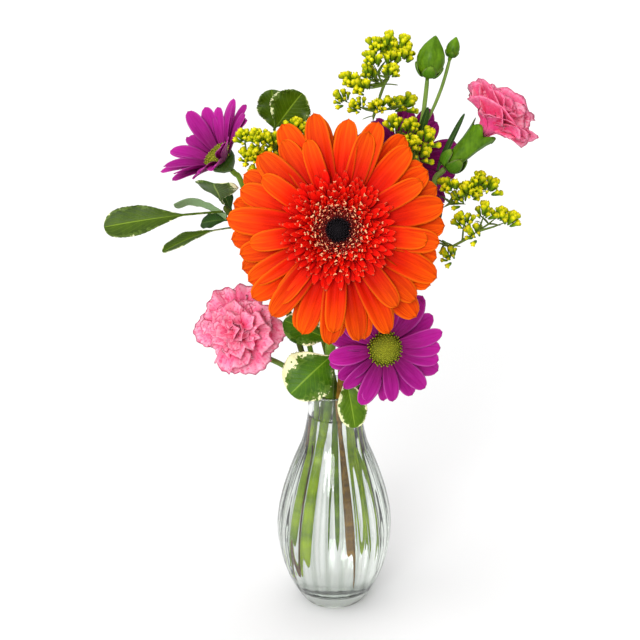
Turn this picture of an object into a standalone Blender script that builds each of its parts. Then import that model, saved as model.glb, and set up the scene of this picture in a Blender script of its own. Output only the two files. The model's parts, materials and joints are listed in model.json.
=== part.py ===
# A mixed bouquet standing in a small ribbed glass bud vase filled with water: one large gerbera,
# two carnations and a carnation bud, three daisies, goldenrod and variegated pittosporum.
# Frame: origin at the middle of the vase's foot, +Z up, the gerbera faces -Y. Sizes are in
# millimetres and are scaled to metres when a mesh is made.

import math
import random

import bmesh
import bpy
from mathutils import Vector

MM = 0.001
GAP = 0.3  # clearance between pieces that touch

# Vase
VASE_HEIGHT = 119.2
FOOT_RADIUS = 15.5
BELLY_RADIUS = 30.0
NECK_RADIUS = 13.3
RIM_RADIUS = 16.8
GLASS_WALL = 1.8
GLASS_FLOOR = 6.8
RIB_COUNT = 24
RIB_DEPTH = 0.55
NECK_LEVEL = 0.906  # height of the narrowest ring, as a share of the vase's height
WATER_BELOW_RIM = 14.7

# Flowers and stems
GERBERA_RADIUS = 52.0
GERBERA_STEM_RADIUS = 2.6
DAISY_RADIUS = 29.0
CARNATION_RADIUS = 21.0
CALYX_LENGTH = 25.0
CALYX_RADIUS = 6.8
HEAD_ABOVE_CALYX = 11.0
THIN_STEM_RADIUS = 1.5
BUD_STEM_RADIUS = 1.2
BUD_SIDE_STEM_RADIUS = 0.9
GOLDENROD_STEM_RADIUS = 1.1
TWIG_RADIUS = 1.7
SPRAY_STALK_RADIUS = 0.75
SPRAY_TWIGLET_RADIUS = 0.5
PETAL_THICKNESS = 0.9
LEAF_THICKNESS = 0.8
CLUSTER_RADIUS = 3.4

# Outer wall of the vase from foot to rim: share of the height, and a radius that lies between the
# foot, belly, neck and rim radii by the given share.
WALL_FOOT_TO_BELLY = [
    (0.0, 0.0), (0.012, 0.11), (0.050, 0.33), (0.110, 0.57), (0.190, 0.81),
    (0.280, 0.96), (0.360, 1.0),
]
WALL_BELLY_TO_NECK = [
    (0.450, 0.93), (0.530, 0.80), (0.610, 0.62), (0.680, 0.43), (0.740, 0.24),
    (0.790, 0.14), (0.850, 0.06), (NECK_LEVEL, 0.0),
]
WALL_NECK_TO_RIM = [(0.940, 0.12), (0.970, 0.55), (0.990, 0.92)]

NECK_Z = NECK_LEVEL * VASE_HEIGHT
NECK_BORE = NECK_RADIUS - GLASS_WALL
LANE_BORE = 11.5  # the bore that the lanes below are laid out for

# Where each stem passes the neck (x, y), and where its cut end stands in the water: direction in
# degrees, share of the bore's radius there, and height above the glass floor.
LANES = {
    "gerbera": ((-3.6, -3.2), (197.0, 0.62, 9.0)),
    "carnation_left": ((-8.5, -3.6), (200.0, 0.88, 14.0)),
    "daisy_left": ((-6.0, 4.6), (152.0, 0.82, 3.0)),
    "twig_left": ((-9.0, 0.8), (176.0, 0.74, 3.0)),
    "twig_top": ((0.4, 1.4), (100.0, 0.20, 20.0)),
    "twig_low": ((1.6, -6.2), (308.0, 0.72, 4.0)),
    "daisy_low": ((6.4, -5.6), (322.0, 0.80, 26.0)),
    "carnation_right": ((8.6, 2.6), (24.0, 0.62, 14.0)),
    "daisy_back": ((4.2, 7.2), (62.0, 0.66, 16.0)),
    "goldenrod_top": ((4.2, -0.9), (352.0, 0.50, 19.0)),
    "goldenrod_right": ((9.4, -1.6), (346.0, 0.82, 21.0)),
}

# Heads and stem ends, with heights above the rim
GERBERA_CENTRE = (0.8, -38.0, 94.4)
GERBERA_FACING = (0.0, -0.955, 0.30)
DAISIES = {
    "daisy_left": ((-56.0, 8.0, 117.0), (-0.61, -0.26, 0.75)),
    "daisy_low": ((23.7, -22.0, 29.7), (0.20, -0.96, 0.12)),
    "daisy_back": ((33.5, 29.0, 109.5), (0.28, -0.88, 0.36)),
}
# How each daisy is open: its reach as a share of the full radius, and how far its petals lift
DAISY_OPEN = {"daisy_left": (0.91, 11.5), "daisy_low": (1.0, 1.5), "daisy_back": (1.0, 3.0)}
CARNATIONS = {
    "carnation_left": ((-48.7, -17.0, 39.1), (-0.15, -0.80, 0.58)),
    "carnation_right": ((79.0, 8.0, 138.0), (0.70, 0.02, 0.71)),
}


def clearScene():
    for obj in list(bpy.data.objects):
        bpy.data.objects.remove(obj)


def makeMaterial(name, colour, roughness, alpha=1.0):
    material = bpy.data.materials.new(name)
    material.use_nodes = True
    shader = material.node_tree.nodes["Principled BSDF"]
    shader.inputs["Base Color"].default_value = (*colour, 1.0)
    shader.inputs["Roughness"].default_value = roughness
    shader.inputs["Metallic"].default_value = 0.0
    shader.inputs["Alpha"].default_value = alpha
    return material


LOOKS = {
    "glass": ((0.86, 0.90, 0.88), 0.05, 0.35),
    "water": ((0.80, 0.88, 0.84), 0.05, 0.30),
    "stem": ((0.22, 0.42, 0.08), 0.45, 1.0),
    "bark": ((0.25, 0.15, 0.07), 0.75, 1.0),
    "bract": ((0.16, 0.34, 0.07), 0.50, 1.0),
    "leaf": ((0.13, 0.30, 0.05), 0.45, 1.0),
    "variegated": ((0.20, 0.36, 0.08), 0.40, 1.0),
    "orange": ((1.0, 0.16, 0.0), 0.45, 1.0),
    "red": ((0.80, 0.03, 0.0), 0.50, 1.0),
    "black": ((0.02, 0.01, 0.01), 0.70, 1.0),
    "magenta": ((0.50, 0.01, 0.24), 0.50, 1.0),
    "daisy_eye": ((0.30, 0.36, 0.03), 0.65, 1.0),
    "pink": ((0.92, 0.13, 0.28), 0.55, 1.0),
    "yellow": ((0.80, 0.62, 0.02), 0.60, 1.0),
}


def addPart(name, verts, faces, look):
    mesh = bpy.data.meshes.new(name)
    mesh.from_pydata([Vector(v) * MM for v in verts], [], faces)
    shell = bmesh.new()
    shell.from_mesh(mesh)
    bmesh.ops.recalc_face_normals(shell, faces=shell.faces)
    if shell.calc_volume(signed=True) < 0:
        bmesh.ops.reverse_faces(shell, faces=shell.faces)
    shell.to_mesh(mesh)
    shell.free()
    mesh.shade_smooth()
    mesh.set_sharp_from_angle(angle=math.radians(42))
    obj = bpy.data.objects.new(name, mesh)
    bpy.context.scene.collection.objects.link(obj)
    mesh.materials.append(makeMaterial(name, *LOOKS[look]))
    return obj


def loft(rings):
    # Closed skin over rings of equal count; a ring of one point is a tip, a wider one gets a cap
    verts = []
    faces = []
    starts = []
    for ring in rings:
        starts.append(len(verts))
        verts.extend(ring)
    for (start, ring), (after, follow) in zip(
        list(zip(starts, rings))[:-1], list(zip(starts, rings))[1:]
    ):
        count = max(len(ring), len(follow))
        for i in range(count):
            j = (i + 1) % count
            if len(ring) == 1:
                faces.append((start, after + i, after + j))
            elif len(follow) == 1:
                faces.append((start + i, after, start + j))
            else:
                faces.append((start + i, after + i, after + j, start + j))
    if len(rings[0]) > 1:
        faces.append(tuple(range(len(rings[0]))))
    if len(rings[-1]) > 1:
        faces.append(tuple(starts[-1] + i for i in range(len(rings[-1]))))
    return verts, faces


def bendRoute(points, steps):
    # Catmull-Rom through the points, so that a stem bends without a kink
    points = [Vector(p) for p in points]
    ends = [points[0] * 2 - points[1]] + points + [points[-1] * 2 - points[-2]]
    route = []
    for i in range(1, len(ends) - 2):
        before, here, there, after = ends[i - 1:i + 3]
        for k in range(steps):
            t = k / steps
            route.append(0.5 * (
                here * 2 + (there - before) * t
                + (before * 2 - here * 5 + there * 4 - after) * t * t
                + (here * 3 - before - there * 3 + after) * t ** 3
            ))
    route.append(points[-1])
    return route


def tube(route, radii, sides):
    rings = []
    side = (route[1] - route[0]).orthogonal()
    for i, centre in enumerate(route):
        along = (route[min(i + 1, len(route) - 1)] - route[max(i - 1, 0)]).normalized()
        side = (side - along * side.dot(along)).normalized()
        other = along.cross(side)
        radius = radii[i] if isinstance(radii, list) else radii
        rings.append([
            centre + (side * math.cos(a) + other * math.sin(a)) * radius
            for a in (math.tau * k / sides for k in range(sides))
        ])
    return rings


def axesOf(facing):
    # A head's own axes: right, up and the way it faces
    facing = Vector(facing).normalized()
    right = Vector((0, 0, 1)).cross(facing)
    if right.length < 0.2:
        right = Vector((1, 0, 0)) - facing * facing.x
    right.normalize()
    return right, facing.cross(right), facing


def onHead(centre, axes, angle, radius, height):
    right, up, facing = axes
    return centre + (right * math.cos(angle) + up * math.sin(angle)) * radius + facing * height


def aboveRim(place):
    return Vector((place[0], place[1], place[2] + VASE_HEIGHT))


def turned(centre, axes, profile, sides, ruffle=None):
    # A profile of (radius, height) turned about a head's axis; radius 0 makes a tip
    rings = []
    for row, (radius, height) in enumerate(profile):
        if radius == 0:
            rings.append([centre + axes[2] * height])
            continue
        ring = []
        for k in range(sides):
            angle = math.tau * k / sides
            out, lift = ruffle(row, angle) if ruffle else (1.0, 0.0)
            ring.append(onHead(centre, axes, angle, radius * out, height + lift))
        rings.append(ring)
    return rings


# ---- vase and water

# Levels of the rings inside the glass, and where the bore turns in to the floor
LINING_LEVELS = (0.985, 0.965, 0.94, NECK_LEVEL, 0.85, 0.77, 0.68, 0.56, 0.43, 0.30, 0.15)
CORNER_LEVEL = 0.09
CORNER_RISE = 2.6
FLOOR_RISE = 0.4
RIB_TOP = 0.81  # the ribs fade out at this level, just under the neck
UPRIGHT = (Vector((1, 0, 0)), Vector((0, 1, 0)), Vector((0, 0, 1)))


def wallRadius(level):
    # Outer radius of the vase at a share of its height
    stations = (
        [(h, FOOT_RADIUS + s * (BELLY_RADIUS - FOOT_RADIUS)) for h, s in WALL_FOOT_TO_BELLY]
        + [(h, NECK_RADIUS + s * (BELLY_RADIUS - NECK_RADIUS)) for h, s in WALL_BELLY_TO_NECK]
        + [(h, NECK_RADIUS + s * (RIM_RADIUS - NECK_RADIUS)) for h, s in WALL_NECK_TO_RIM]
        + [(1.0, RIM_RADIUS)]
    )
    for (low, r_low), (high, r_high) in zip(stations, stations[1:]):
        if level <= high:
            return r_low + (r_high - r_low) * (level - low) / (high - low)
    return RIM_RADIUS


def boreRadius(z):
    return wallRadius(z / VASE_HEIGHT) - GLASS_WALL


def ribFade(level):
    low = 0.01
    share = (level - low) / (RIB_TOP - low)
    return max(0.0, math.sin(math.pi * min(1.0, max(0.0, share))) ** 0.5)


def cornerRadius():
    return wallRadius(CORNER_LEVEL) - GLASS_WALL * 1.6


def buildVase():
    levels = [h for h, _ in WALL_FOOT_TO_BELLY + WALL_BELLY_TO_NECK + WALL_NECK_TO_RIM]
    sides = RIB_COUNT * 2
    rings = []
    for level in levels:
        ring = []
        for k in range(sides):
            radius = wallRadius(level) - RIB_DEPTH * ribFade(level) * (k % 2)
            angle = math.tau * k / sides
            ring.append(Vector((
                radius * math.cos(angle), radius * math.sin(angle), level * VASE_HEIGHT
            )))
        rings.append(ring)
    lip = GLASS_WALL * 0.25
    lining = [
        (RIM_RADIUS - lip, VASE_HEIGHT),
        (RIM_RADIUS - GLASS_WALL + lip, VASE_HEIGHT),
    ]
    for level in LINING_LEVELS:
        lining.append((wallRadius(level) - GLASS_WALL, level * VASE_HEIGHT))
    corner = cornerRadius()
    lining.append((corner, GLASS_FLOOR + CORNER_RISE))
    lining += [(corner * 0.72, GLASS_FLOOR + FLOOR_RISE), (0, GLASS_FLOOR)]
    rings += turned(Vector((0, 0, 0)), UPRIGHT, lining, sides)
    verts, faces = loft(rings)
    return addPart("vase", verts, faces, "glass")


def buildWater(stems):
    gap = GAP * 1.2
    surface = VASE_HEIGHT - WATER_BELOW_RIM
    corner = cornerRadius()
    wet = [level for level in reversed(LINING_LEVELS) if level * VASE_HEIGHT < surface - 1]
    dry = min(level for level in LINING_LEVELS if level not in wet) * VASE_HEIGHT
    profile = [(0, GLASS_FLOOR + gap), (corner * 0.70, GLASS_FLOOR + FLOOR_RISE + gap)]
    profile.append((corner - gap, GLASS_FLOOR + CORNER_RISE + gap))
    profile += [(wallRadius(level) - GLASS_WALL - gap, level * VASE_HEIGHT) for level in wet]
    below = wet[-1] * VASE_HEIGHT
    share = (surface - below) / (dry - below)
    edge = boreRadius(below) + (boreRadius(dry) - boreRadius(below)) * share
    profile += [(edge - gap, surface), (0, surface)]
    verts, faces = loft(turned(Vector((0, 0, 0)), UPRIGHT, profile, RIB_COUNT * 2))
    water = addPart("water", verts, faces, "water")
    for name, (route, radius, sides) in stems.items():
        wet = [p for p in route if p.z < surface + 12]
        start = wet[0] + (wet[0] - wet[1]).normalized() * GAP
        verts, faces = loft(tube([start] + wet[1:], radius + GAP, sides))
        cutter = addPart(name + "_clearance", verts, faces, "water")
        cutter.hide_render = True
        cutter.display_type = "WIRE"
        cut = water.modifiers.new(name, "BOOLEAN")
        cut.operation = "DIFFERENCE"
        cut.object = cutter
    return water


# ---- stems

def stemFoot(name):
    degrees, share, rise = LANES[name][1]
    z = GLASS_FLOOR + rise
    radius = boreRadius(z) * share
    angle = math.radians(degrees)
    return Vector((radius * math.cos(angle), radius * math.sin(angle), z))


def stemRoute(name, above, steps=2):
    # From the cut end in the water, through the stem's lane in the neck, to the points above the rim
    x, y = LANES[name][0]
    lane = Vector((x, y, 0)) * (NECK_BORE / LANE_BORE)
    lane.z = NECK_Z
    foot = stemFoot(name)
    half = foot.lerp(lane, 0.5)
    return bendRoute([foot, half, lane] + [aboveRim(p) for p in above], steps)


def buildStem(name, route, radius, sides, look="stem"):
    verts, faces = loft(tube(route, radius, sides))
    return addPart(name, verts, faces, look)


def buildBranch(name, route, radius):
    # A stem that springs from another one, so its lower end is a point
    rings = tube(route, radius, 6)
    rings[0] = [route[0]]
    verts, faces = loft(rings)
    return addPart(name, verts, faces, "stem")


def leaveFrom(stem, share, toward):
    # Where a side piece starts toward its own end: off the stem's side, or off its cut end
    route, radius, _ = stem
    place = share * (len(route) - 1)
    low = min(int(place), len(route) - 2)
    centre = route[low].lerp(route[low + 1], place - low)
    along = (route[low + 1] - route[low]).normalized()
    if share == 1.0:
        return centre + along * GAP
    away = Vector(toward) - centre
    away -= along * away.dot(along)
    return centre + away.normalized() * (radius + GAP)


# ---- flower heads

def petalRing(centre, axes, count, hub, reach, width, height, lift, dome, phase, seed):
    # A hub with a petal on every other side face, all one solid. Heights are along the facing axis.
    dice = random.Random(seed)
    half = math.pi / count * 0.55
    spacing = math.tau / count
    thick = PETAL_THICKNESS / 2
    verts = []
    faces = []
    upper = []
    lower = []
    roots = []
    for i in range(count):
        middle = phase + spacing * i
        corner = len(verts)
        for angle in (middle - half, middle + half):
            verts.append(onHead(centre, axes, angle, hub, height + thick))
            verts.append(onHead(centre, axes, angle, hub, height - thick))
        roots.append((middle + spacing * dice.uniform(-0.05, 0.05), corner))
        upper += [corner, corner + 2]
        lower += [corner + 1, corner + 3]
    faces.append(tuple(upper))
    faces.append(tuple(reversed(lower)))
    for i in range(count):
        here = roots[i][1]
        after = roots[(i + 1) % count][1]
        faces.append((here + 2, here + 3, after + 1, after))
    stations = ((0.36, 0.86), (0.76, 1.0), (1.0, 0.34))
    for middle, corner in roots:
        last = [corner, corner + 1, corner + 3, corner + 2]
        length = (reach - hub) * dice.uniform(0.93, 1.0)
        rise = lift * dice.uniform(0.8, 1.2)
        for share, breadth in stations:
            radius = hub + length * share
            middleHeight = height + rise * share + dome * math.sin(math.pi * share)
            spread = math.asin(min(0.9, width * breadth / 2 / radius))
            ring = []
            for angle, offset in (
                (middle - spread, thick), (middle - spread, -thick),
                (middle + spread, -thick), (middle + spread, thick),
            ):
                ring.append(len(verts))
                verts.append(onHead(centre, axes, angle, radius, middleHeight + offset))
            for k in range(4):
                j = (k + 1) % 4
                faces.append((last[k], last[j], ring[j], ring[k]))
            last = ring
        faces.append(tuple(reversed(last)))
    return verts, faces


GERBERA_BACK_HEIGHT = -2.4
GERBERA_FRONT_HEIGHT = GERBERA_BACK_HEIGHT + PETAL_THICKNESS + GAP * 2
DAISY_BRACT_DEPTH = 8.0
GERBERA_BRACT_DEPTH = 13.0


def buildGerbera():
    centre = aboveRim(GERBERA_CENTRE)
    axes = axesOf(GERBERA_FACING)
    half = PETAL_THICKNESS / 2
    scale = GERBERA_RADIUS / 52.0
    hub = 13.0 * scale
    under = GERBERA_BACK_HEIGHT - half - GAP
    cup = [
        (GERBERA_STEM_RADIUS + 0.4, -GERBERA_BRACT_DEPTH), (6.0 * scale, -10.5), (9.6 * scale, -7.5),
        (11.6 * scale, -5.2), (12.2 * scale, under),
    ]
    verts, faces = loft(turned(centre, axes, cup, 20))
    addPart("gerbera_bracts", verts, faces, "bract")
    verts, faces = petalRing(
        centre, axes, 21, hub, GERBERA_RADIUS, 9.0 * scale, GERBERA_BACK_HEIGHT, -1.5, 1.2, 0.10, 11
    )
    addPart("gerbera_back_rays", verts, faces, "orange")
    verts, faces = petalRing(
        centre, axes, 20, hub, GERBERA_RADIUS * 0.94, 9.0 * scale, GERBERA_FRONT_HEIGHT, 1.2, 1.2, 0.25, 12
    )
    addPart("gerbera_front_rays", verts, faces, "orange")
    seat = GERBERA_FRONT_HEIGHT + half + GAP
    bowl = seat + 3.6
    florets = [
        (0, seat), (12.5 * scale, seat + 0.1), (18 * scale, seat + 0.5), (22 * scale, seat + 1.0),
        (26.3 * scale, seat + 1.7), (27.4 * scale, seat + 2.7), (24 * scale, seat + 4.4),
        (18 * scale, seat + 5.8), (12 * scale, seat + 6.0), (8.8 * scale, seat + 4.6),
        (7.4 * scale, bowl), (0, bowl),
    ]

    def fringe(row, angle):
        strength = (0, 0, 0, 0.01, 0.035, 0.05, 0.03, 0, 0, 0, 0, 0)[row]
        return 1.0 + strength * math.cos(10 * angle), 0.0

    verts, faces = loft(turned(centre, axes, florets, 20, fringe))
    addPart("gerbera_inner_florets", verts, faces, "red")
    eye = [
        (0, bowl + GAP), (5.9 * scale, bowl + GAP), (6.4 * scale, bowl + 1.1), (5.0 * scale, bowl + 2.4),
        (2.6 * scale, bowl + 3.1), (0, bowl + 3.3),
    ]
    verts, faces = loft(turned(centre, axes, eye, 16))
    addPart("gerbera_eye", verts, faces, "black")


def buildDaisy(name, seed):
    place, facing = DAISIES[name]
    centre = aboveRim(place)
    axes = axesOf(facing)
    scale = DAISY_RADIUS / 29.0
    reach, lift = DAISY_OPEN[name]
    half = PETAL_THICKNESS / 2
    cup = [
        (THIN_STEM_RADIUS + 0.4, -DAISY_BRACT_DEPTH), (4.4 * scale, -6.0), (6.6 * scale, -3.0),
        (7.0 * scale, -half - GAP),
    ]
    verts, faces = loft(turned(centre, axes, cup, 12))
    addPart(name + "_bracts", verts, faces, "bract")
    verts, faces = petalRing(
        centre, axes, 17, 7.5 * scale, DAISY_RADIUS * reach, 6.0 * scale, 0.0, lift, 0.8, 0.2, seed
    )
    addPart(name + "_rays", verts, faces, "magenta")
    disc = [
        (7.3 * scale, half + GAP), (7.9 * scale, 2.0), (6.9 * scale, 3.9), (4.0 * scale, 5.2),
        (0, 5.7),
    ]
    verts, faces = loft(turned(centre, axes, disc, 16))
    addPart(name + "_disc", verts, faces, "daisy_eye")


def buildCarnation(name, seed):
    place, facing = CARNATIONS[name]
    axes = axesOf(facing)
    mouth = aboveRim(place) - axes[2] * HEAD_ABOVE_CALYX
    calyx = [
        (THIN_STEM_RADIUS + 0.4, -1.0), (0.50 * CALYX_RADIUS, -0.88), (0.62 * CALYX_RADIUS, -0.68),
        (0.70 * CALYX_RADIUS, -0.44), (0.80 * CALYX_RADIUS, -0.20), (CALYX_RADIUS, 0.0),
    ]
    calyx = [(radius, share * CALYX_LENGTH) for radius, share in calyx]
    verts, faces = loft(turned(mouth, axes, calyx, 12))
    addPart(name + "_calyx", verts, faces, "bract")
    scale = CARNATION_RADIUS / 21.0
    head = [
        (CALYX_RADIUS * 0.85, GAP), (9.5 * scale, 2.2), (15.5 * scale, 5.0), (19.5 * scale, 8.6),
        (20.0 * scale, 12.6), (17.5 * scale, 16.8), (12.0 * scale, 19.6), (6.0 * scale, 20.2),
        (0, 19.0),
    ]

    def frill(row, angle):
        strength = (0, 0.04, 0.06, 0.06, 0.06, 0.05, 0.06, 0.08, 0)[row]
        wave = math.sin(6 * angle + row * 1.3 + seed) + 0.5 * math.sin(9 * angle - row + seed * 2)
        return 1.0 + strength * wave * 0.7, 0.9 * math.sin(5 * angle + row * 0.6 + seed) * (row > 1)

    verts, faces = loft(turned(mouth, axes, head, 24, frill))
    addPart(name + "_petals", verts, faces, "pink")


BUD_LARGE = ((44.2, 11.5, 156.5), (47.6, 11.5, 176.0), 6.7)
BUD_SMALL = ((55.0, 13.5, 165.6), (57.6, 13.5, 175.0), 3.2)
BUD_FORK = (42.4, 12.0, 136.0)
BUD_STEM_LOWER = (39.0, 12.5, 118.0)


def budAxis(spec):
    # A bud's base and the way it points
    base = aboveRim(spec[0])
    return base, (aboveRim(spec[1]) - base).normalized()


def buildBud(name, spec):
    base, tip, radius = spec
    base = aboveRim(base)
    tip = aboveRim(tip)
    length = (tip - base).length
    axes = axesOf(tip - base)
    profile = [
        (0.25, 0.0), (0.66, 0.12), (0.98, 0.32), (1.0, 0.50), (0.76, 0.74), (0.34, 0.91), (0, 1.0),
    ]
    profile = [(share * radius, rise * length) for share, rise in profile]
    verts, faces = loft(turned(base, axes, profile, 12))
    addPart(name, verts, faces, "bract")


def buildBuds(stem):
    # The forked side shoot with its two buds; gives back its main stem for the leaf at the fork
    base, along = budAxis(BUD_LARGE)
    lower = aboveRim(BUD_STEM_LOWER)
    start = leaveFrom(stem, 0.72, lower)
    points = [start, start.lerp(lower, 0.5), lower, aboveRim(BUD_FORK), base - along * GAP]
    route = bendRoute(points, 2)
    shoot = (route, BUD_STEM_RADIUS, 6)
    buildBranch("carnation_bud_stem", route, BUD_STEM_RADIUS)
    buildBud("carnation_bud_large", BUD_LARGE)
    buildBud("carnation_bud_small", BUD_SMALL)
    base, along = budAxis(BUD_SMALL)
    start = leaveFrom(shoot, 0.66, base)
    bend = start.lerp(base, 0.55) + Vector((1.6, 0.6, 0))
    route = bendRoute([start, bend, base - along * GAP * 1.5], 2)
    buildBranch("carnation_bud_side_stem", route, BUD_SIDE_STEM_RADIUS)
    return shoot


def seatBehind(place, facing, depth):
    # Where a stem ends under a head, and the point it comes through just before
    facing = axesOf(facing)[2]
    end = Vector(place) - facing * (depth + GAP * 1.5)
    return [end - facing * 7.0, end - facing * 3.5, end]


# ---- leaves

def buildLeaf(name, stem, share, tip, width, face, look, bend=0.0, fold=0.12, widest=0.6, stalk=0.25):
    # A flat blade with a short stalk: midrib from the stem's surface to the tip, bent toward its face
    tip = aboveRim(tip)
    base = leaveFrom(stem, share, tip)
    face = Vector(face).normalized()
    power = math.log(0.5) / math.log(widest)
    shares = [0.5 * stalk, stalk] + [stalk + (1 - stalk) * q for q in (0.14, 0.34, 0.56, 0.76, 0.91)]
    rings = [[base]]
    for s in shares:
        middle = base.lerp(tip, s) + face * bend * math.sin(math.pi * s)
        along = (tip - base) + face * bend * math.pi * math.cos(math.pi * s)
        along.normalize()
        up = (face - along * face.dot(along)).normalized()
        side = along.cross(up)
        blade = max(0.0, (s - stalk) / (1 - stalk))
        half = max(0.5, width / 2 * math.sin(math.pi * blade ** power) ** 0.8)
        edge = fold * half if half > 1 else 0.0
        rings.append([
            middle - side * half + up * edge, middle - up * LEAF_THICKNESS / 2,
            middle + side * half + up * edge, middle + up * LEAF_THICKNESS / 2,
        ])
    rings.append([tip])
    verts, faces = loft(rings)
    addPart(name, verts, faces, look)


# ---- goldenrod

def buildSpray(name, stem, share, stalk, clusters):
    # A side stalk with small round flower clusters, joined into one solid
    route = bendRoute([leaveFrom(stem, share, aboveRim(stalk[0]))] + [aboveRim(p) for p in stalk], 2)
    rings = tube(route, SPRAY_STALK_RADIUS, 6)
    rings[0] = [route[0]]
    verts, faces = loft(rings)
    spray = addPart(name, verts, faces, "yellow")
    for number, (leave, place, radius) in enumerate(clusters):
        centre = aboveRim(place)
        spot = leave * (len(route) - 1)
        low = min(int(spot), len(route) - 2)
        root = route[low].lerp(route[low + 1], spot - low)
        sag = root.lerp(centre, 0.5) + Vector((0, 0, -0.4))
        twiglet = tube([root, sag, centre], SPRAY_TWIGLET_RADIUS, 5)
        pieces = [loft(twiglet)]
        ball = bmesh.new()
        bmesh.ops.create_icosphere(ball, subdivisions=1, radius=radius)
        ball.verts.ensure_lookup_table()
        pieces.append((
            [centre + v.co for v in ball.verts],
            [tuple(v.index for v in f.verts) for f in ball.faces],
        ))
        ball.free()
        for kind, (verts, faces) in zip(("stalk", "cluster"), pieces):
            shape = addPart(f"{name}_{kind}_{number}", verts, faces, "yellow")
            shape.hide_render = True
            shape.display_type = "WIRE"
            join = spray.modifiers.new(f"{kind}_{number}", "BOOLEAN")
            join.operation = "UNION"
            join.object = shape
    return spray


def clump(leave, *places):
    return [(leave, place, CLUSTER_RADIUS) for place in places]


# ---- assembly

STEMS_ABOVE = {
    "gerbera": [(-3.0, -5.6, 1), (-2.2, -9, 28), (-0.6, -13.5, 60), (0.5, -15.8, 80)],
    "carnation_left": [(-11.6, -4.9, 0), (-18, -5.5, 8), (-28, -3.5, 14.5), (-36, 2.5, 15.5)],
    "daisy_left": [(-8.8, 5.6, 0), (-19, 8.5, 45), (-38, 11, 82)],
    "twig_left": [(-12.0, 0.9, 0), (-22, 0.8, 38), (-36, 0, 68), (-47, -1.5, 86), (-54, -3, 96)],
    "twig_top": [(0.4, 2.0, 0), (-8, 4, 32), (-20, 8, 76), (-28, 11, 114), (-31, 12, 129)],
    "twig_low": [(2.4, -9.0, 0), (3.0, -12.0, 14), (3.0, -14.0, 28)],
    "daisy_low": [(8.2, -8.6, 0), (13.5, -8.5, 12), (18.5, -7.5, 23)],
    "carnation_right": [(11.6, 3.4, 0), (27, 6, 42), (40, 8.5, 76), (47.5, 8.5, 96)],
    "daisy_back": [(5.8, 9.4, 0), (17, 23, 48), (26, 36, 84)],
    "goldenrod_top": [(5.2, 0.4, 2), (8, 3, 30), (12.5, 6, 70), (15.5, 7, 108), (18, 10.5, 134)],
    "goldenrod_right": [(13.0, -1.8, 0), (29, 0, 32), (43, 2, 60), (49, 4, 76), (52, 5.5, 92)],
}
STEM_RADII = {"gerbera": GERBERA_STEM_RADIUS, "twig_left": TWIG_RADIUS, "twig_low": TWIG_RADIUS}
SEATS = {
    "gerbera": (GERBERA_CENTRE, GERBERA_FACING, GERBERA_BRACT_DEPTH),
    "daisy_left": (*DAISIES["daisy_left"], DAISY_BRACT_DEPTH),
    "daisy_low": (*DAISIES["daisy_low"], DAISY_BRACT_DEPTH),
    "daisy_back": (*DAISIES["daisy_back"], DAISY_BRACT_DEPTH),
    "carnation_left": (*CARNATIONS["carnation_left"], HEAD_ABOVE_CALYX + CALYX_LENGTH),
    "carnation_right": (*CARNATIONS["carnation_right"], HEAD_ABOVE_CALYX + CALYX_LENGTH),
}


def layStems():
    stems = {}
    for name, above in STEMS_ABOVE.items():
        points = above + (seatBehind(*SEATS[name]) if name in SEATS else [])
        goldenrod = name.startswith("goldenrod")
        radius = GOLDENROD_STEM_RADIUS if goldenrod else STEM_RADII.get(name, THIN_STEM_RADIUS)
        stems[name] = (stemRoute(name, points), radius, 8 if name == "gerbera" else 6)
    return stems


def stemNode(name):
    return name if name.startswith("twig") else name + "_stem"


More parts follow.
